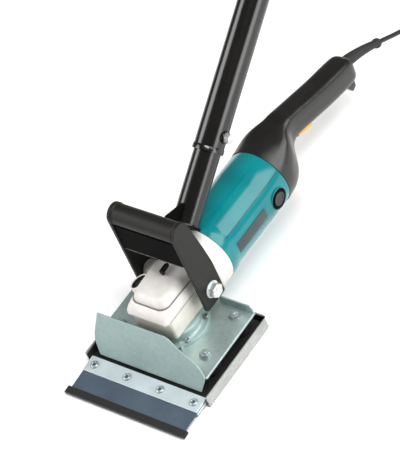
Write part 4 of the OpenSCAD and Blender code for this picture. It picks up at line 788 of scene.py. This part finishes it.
# the raised bar that a coin or blade turns the cap by
bar = {"half": 7.8, "halfWide": 1, "high": 0.5, "from": 49.7, "turn": 35}
bm = bmesh.new()
for spot in brushSpots:
    lathe(bm, [(0, 49.7), (7.6, 49.7), (8, 50.3), (9.4, 50.6), (10.2, 50.3), (10.45, 49.7), (10.45, 42),
               (0, 42)], spot, 48)
    prism(bm, rectangle(-bar["half"], bar["half"], -bar["halfWide"], bar["halfWide"]), bar["high"],
          spot @ turned("Z", bar["turn"]) @ moved(0, 0, bar["from"]))
finishPiece(bm, "brushCaps", "machine", ["brush_caps"], "blackNylon", bevel=0.15)
# each cap sits in a round recess with a raised teal rim; the recess's dark flat floor is painted shade
recess = {
    # piece: (slot, finish, profile)
    "brushRims": ("teal_plastic", "tealNylon",
                  [(15.4, 44), (15.4, 49), (15.8, 49.4), (16.6, 49.4), (17, 49), (17, 44)]),
    # the seats' black is painted shade in the recess
    "brushSeats": ("handle_plastic", "dryEnamel", [(10.3, 49.15), (15.5, 49.15)]),
}
for name, (slot, material, profile) in recess.items():
    bm = bmesh.new()
    for spot in brushSpots:
        lathe(bm, profile, spot, 64)
    finishPiece(bm, name, "machine", [], material, angle=40)


# rear handle

handle = {"y": 240, "len": 232, "axis": 80, "rise": 29, "gripW": 20, "gripH": 22, "bell": 49, "wall": 3,
          "gripPower": 0.52, "bellPower": 0.44, "halfGap": 0.12,
          # (share of the length, share of the rise, share of the bell's size)
          "rows": [(0, 0, 1), (0.05, 0.06, 0.97), (0.1, 0.14, 0.88), (0.167, 0.34, 0.66),
                   (0.21, 0.6, 0.42), (0.258, 0.92, 0.14), (0.314, 1.04, 0.03), (0.384, 0.95, 0),
                   (0.517, 0.7, 0), (0.694, 0.37, 0), (0.871, 0.11, 0), (0.966, 0, -0.06), (1, 0, -0.3)]}


def handleRing(along, rise, bell):
    y = handle["y"] + along * handle["len"]
    z = handle["axis"] + rise * handle["rise"]
    a = handle["gripW"] + (handle["bell"] - handle["gripW"]) * bell
    b = handle["gripH"] + (handle["bell"] - handle["gripH"]) * bell
    # a round bell that turns into a rounded box along the grip
    power = handle["gripPower"] + handle["bellPower"] * max(bell, 0) ** 5

    def at(angle):
        c, s = math.cos(angle), math.sin(angle)
        return Vector((a * math.copysign(abs(c) ** power, c), y,
                       z + b * math.copysign(abs(s) ** power, s)))
    return at


trigger = {"pin": (0, 317.72, 92.99), "lean": -13.4, "half": 9, "slot": 9.4, "from": -5.4, "to": 48,
           "slotTop": 4,
           "profile": [(-5, 4), (-5, -5.5), (5, -12), (18.4, -13.5), (36.8, -15.5), (43.7, -15.5),
                       (46, -12.5), (46, -1), (5, 4)]}
triggerPlace = tilted(trigger["pin"], trigger["lean"])
slotCuts = [((trigger["slot"], 0, 0), (1, 0, 0)), ((-trigger["slot"], 0, 0), (1, 0, 0)),
            ((0, trigger["from"], 0), (0, 1, 0)), ((0, trigger["to"], 0), (0, 1, 0))]
rows = smoothLine(handle["rows"])
for sideName, node, keep in (("handleShellRight", "handle_shell_right", 1),
                             ("handleShellLeft", "handle_shell_left", -1)):
    bm = bmesh.new()
    loft(bm, [handleRing(*row) for row in rows], 64, closeStart=False)
    cut(bm, (handle["halfGap"] * keep, 0, 0), (-keep, 0, 0), drop=True)
    for spot, normal in slotCuts:
        cut(bm, triggerPlace @ Vector(spot), triggerPlace.to_3x3() @ Vector(normal))
    inSlot = []
    for face in bm.faces:
        spot = triggerPlace.inverted() @ face.calc_center_median()
        between = abs(spot.x) < trigger["slot"] and trigger["from"] < spot.y < trigger["to"]
        if between and spot.z < trigger["slotTop"]:
            inSlot.append(face)
    bmesh.ops.delete(bm, geom=inSlot, context="FACES")
    finishPiece(bm, sideName, "machine", [node], "blackNylon", bevel=0.5, angle=50,
                wall=handle["wall"])
# the stop under the handle's end
hook = {"half": 10, "profile": [(441.8, 67), (457.7, 40), (466.7, 43.6), (468.5, 67)]}
bm = bmesh.new()
prism(bm, hook["profile"], 2 * hook["half"], moved(-hook["half"], 0, 0) @ acrossX)
finishPiece(bm, "handleHook", "machine", [], "blackNylon", bevel=2.2, segments=4)

bm = bmesh.new()
prism(bm, trigger["profile"], 2 * trigger["half"], triggerPlace @ moved(-trigger["half"], 0, 0) @ acrossX)
finishPiece(bm, "triggerLever", "trigger", ["trigger"], "triggerAbs", bevel=1.2,
            segments=4)

button = {"x": -23.5, "y": 362.96, "z": 98.85}
bm = bmesh.new()
lathe(bm, [(0, -0.2), (2.6, -0.2), (3.2, 0), (4.4, 0.3), (5, 1), (5, 10), (0, 10)],
      alongX(button["x"], button["y"], button["z"]), 32)
finishPiece(bm, "lockButton", "lock_button", ["lock_button"], "buttonAbs")


# yoke and pole

yoke = {"half": 57.3, "thick": 5, "crossY": 27.5, "crossZ": 212.5, "crossBore": 12, "crossR": 15,
        "endR": 16, "footRound": 4.0, "foot": [(15, 64), (58, 64), (57.6, 94), (57, 125), (52.4, 158.5)],
        "weldIn": 1.2}
yokeOutline = yoke["foot"] + [(yoke["crossY"] + yoke["endR"] * math.cos(math.radians(a)),
                               yoke["crossZ"] + yoke["endR"] * math.sin(math.radians(a)))
                              for a in range(0, 181, 12)]
inner = yoke["half"] - yoke["thick"]
for name, node, x in (("yokePlateRight", "yoke_plate_right", inner),
                      ("yokePlateLeft", "yoke_plate_left", -yoke["half"])):
    bm = bmesh.new()
    prism(bm, yokeOutline, yoke["thick"], moved(x, 0, 0) @ acrossX, (0, 1), yoke["footRound"], 5)
    finishPiece(bm, name, "yoke", [node], "mattEnamel", bevel=0.7, segments=3)

crossPlace = alongX(0, yoke["crossY"], yoke["crossZ"])
bm = bmesh.new()
lathe(bm, [(yoke["crossBore"], -inner), (yoke["crossR"], -inner), (yoke["crossR"], inner),
           (yoke["crossBore"], inner), (yoke["crossBore"], -inner)], crossPlace, 64)
# weld beads where the tube meets the plates
for x in (yoke["weldIn"] - inner, inner - yoke["weldIn"]):
    lathe(bm, [(14.7, x - 1.6), (15.8, x - 0.9), (16.1, x), (15.8, x + 0.9), (14.7, x + 1.6)],
          crossPlace, 48)
finishPiece(bm, "crossTube", "yoke", ["cross_tube"], "mattEnamel", angle=40)

# the pole's measures run along it from its foot
pole = {"foot": (0, 85.4, 148.5), "rise": 34.2, "low": 102, "top": 1182, "r": 21.05, "bore": 19.05,
        "boltAt": 127, "boltSeat": 23.85}
polePlace = tilted(pole["foot"], pole["rise"] - 90)
# a cross web, a sloping web under the pole and a gusset on it
web = {"thick": 4, "y": 18, "z": (157, 202), "slopeRound": 3.0,
       "slope": [(-23.7, 5.7), (23.7, 5.7), (inner - 1, -75), (1 - inner, -75)],
       "gusset": [(0, -18.6), (26.6, -18.6), (26.6, -20.4), (4, -48.6), (0, -49.4)]}
bm = bmesh.new()
prism(bm, rectangle(-inner, inner, *web["z"]), web["thick"], tilted((0, web["y"], 0), 90))
prism(bm, web["slope"], web["thick"], polePlace @ moved(0, 0, -web["thick"]),
      (0, 1), web["slopeRound"], 4)
prism(bm, web["gusset"], web["thick"],
      polePlace @ Matrix(((0, 0, 1, -web["thick"] / 2), (0, 1, 0, 0), (1, 0, 0, 0), (0, 0, 0, 1))))
# the webs' dark, dull enamel is painted shade
finishPiece(bm, "yokeWebs", "yoke", ["yoke_webs"], "dryEnamel", bevel=0.5)
# painted highlight along the cross web's lower edge
edgeHighlight = {"short": 3, "y": 14.1, "z": (156.7, 157.5), "thick": 0.6}
bm = bmesh.new()
prism(bm, rectangle(edgeHighlight["short"] - inner, inner - edgeHighlight["short"], *edgeHighlight["z"]), edgeHighlight["thick"],
      tilted((0, edgeHighlight["y"], 0), 90))
finishPiece(bm, "wornEdge", "yoke", [], "wornEnamel")

bm = bmesh.new()
lathe(bm, [(16, 0), (18.6, 0), (19, 0.4), (19, 239.4), (18.4, 240), (16, 240), (16, 0)], polePlace, 64)
lathe(bm, [(18.7, 0.2), (20.6, 0.3), (20.2, 1.5), (18.7, 2.4)], polePlace, 48)
finishPiece(bm, "poleStub", "yoke", ["pole_stub"], "blackEnamel", angle=40)

bolt = {"head": (59.6, 69.1), "headR": 11, "headTurn": 12, "chamfer": 1.4, "shankFrom": 33, "shankR": 6,
        "washers": ((50, 52), (57.6, 59.6)), "washerBore": 6.05, "washerR": 12.5}
boltPlaces = [alongX(0, pivot["y"], pivot["z"], side) for side in (-1, 1)]
seat, end = bolt["head"]
bm = bmesh.new()
for out in boltPlaces:
    hexHead(bm, bolt["headR"], end - seat, out @ moved(0, 0, seat) @ turned("Z", bolt["headTurn"]),
            bolt["chamfer"])
    lathe(bm, [(0, bolt["shankFrom"]), (bolt["shankR"], bolt["shankFrom"]), (bolt["shankR"], seat),
               (0, seat)], out, 32)
finishPiece(bm, "yokeBolts", "machine", ["yoke_bolts"], "boltZinc", bevel=0.2)
bm = bmesh.new()
bore, r = bolt["washerBore"], bolt["washerR"]
for out in boltPlaces:
    for low, high in bolt["washers"]:
        lathe(bm, [(bore, low), (r - 0.4, low), (r, low + 0.3), (r, high - 0.3), (r - 0.4, high),
                   (bore, high), (bore, low)], out, 48)
finishPiece(bm, "yokeWashers", "machine", ["yoke_washers"], "brightZinc")

bm = bmesh.new()
# a rolled bead at the lower end, then the plain tube
lathe(bm, [(pole["bore"], pole["low"]), (21.6, 102), (22.05, 102.5), (22.05, 109.2), (21.6, 109.9),
           (pole["r"], 110.2), (pole["r"], pole["top"]), (pole["bore"], pole["top"]),
           (pole["bore"], pole["low"])], polePlace, 72)
bossPlace = polePlace @ alongX(0, 0, pole["boltAt"])
lathe(bm, [(4.1, 20), (9.6, 19), (8.9, 21.6), (8.8, 23.4), (8.4, pole["boltSeat"]),
           (4.1, pole["boltSeat"]), (4.1, 20)], bossPlace, 40)
finishPiece(bm, "poleTube", "pole", ["pole"], "blackEnamel", angle=40)

clampBolt = {"headR": 7.6, "headHigh": 7.6, "r": 4, "from": 19.3}
bm = bmesh.new()
hexHead(bm, clampBolt["headR"], clampBolt["headHigh"], bossPlace @ moved(0, 0, pole["boltSeat"]))
lathe(bm, [(0, clampBolt["from"]), (clampBolt["r"], clampBolt["from"]),
           (clampBolt["r"], pole["boltSeat"]), (0, pole["boltSeat"])], bossPlace, 24)
finishPiece(bm, "clampBolt", "pole", ["clamp_bolt"], "boltZinc", bevel=0.15)

grip = {"from": 1032, "to": 1186, "r": 25.05, "grooveR": 24.2, "ribs": 15, "pitch": 8.6, "plain": 12}
low, high = grip["from"], grip["to"]
bm = bmesh.new()
profile = [(pole["r"], low), (23.6, low), (24.6, low + 1), (25, low + 3), (25, low + 9)]
for i in range(grip["ribs"]):
    at = low + grip["plain"] + i * grip["pitch"]
    profile += [(grip["grooveR"], at), (grip["grooveR"], at + 1.6), (grip["r"], at + 2.8),
                (grip["r"], at + 7.2)]
profile += [(grip["r"], high - 4), (24, high - 1.2), (21, high), (0, high), (0, pole["top"]),
            (pole["r"], pole["top"]), (pole["r"], low)]
lathe(bm, profile, polePlace, 56)
finishPiece(bm, "handGrip", "pole", ["hand_grip"], "rubber", bevel=0.3)
print("main pieces made")


# nodes that keep their own shape

kept = {
    "machinedSteel": ["drive_block", "armature_shaft", "front_bearing", "rear_bearing", "spindle",
                      "upper_spindle_bearing", "lower_spindle_bearing", "eccentric",
                      "eccentric_bearing"],
    "blackSteel": ["housing_screws", "handle_screws", "trigger_pin"],
    "coreSteel": ["stator", "armature_core"],
    "gearSteel": ["pinion", "bevel_gear"],
    "blackNylon": ["fan", "switch_body"],
    "brightZinc": ["blade_seat"],
    "carbon": ["carbon_brushes"],
    "copper": ["commutator"],
}
for name, nodes in kept.items():
    for node in nodes:
        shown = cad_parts[node]
        shown.data.materials.clear()
        shown.data.materials.append(finish[name])
print("kept nodes finished:", sum(len(nodes) for nodes in kept.values()))
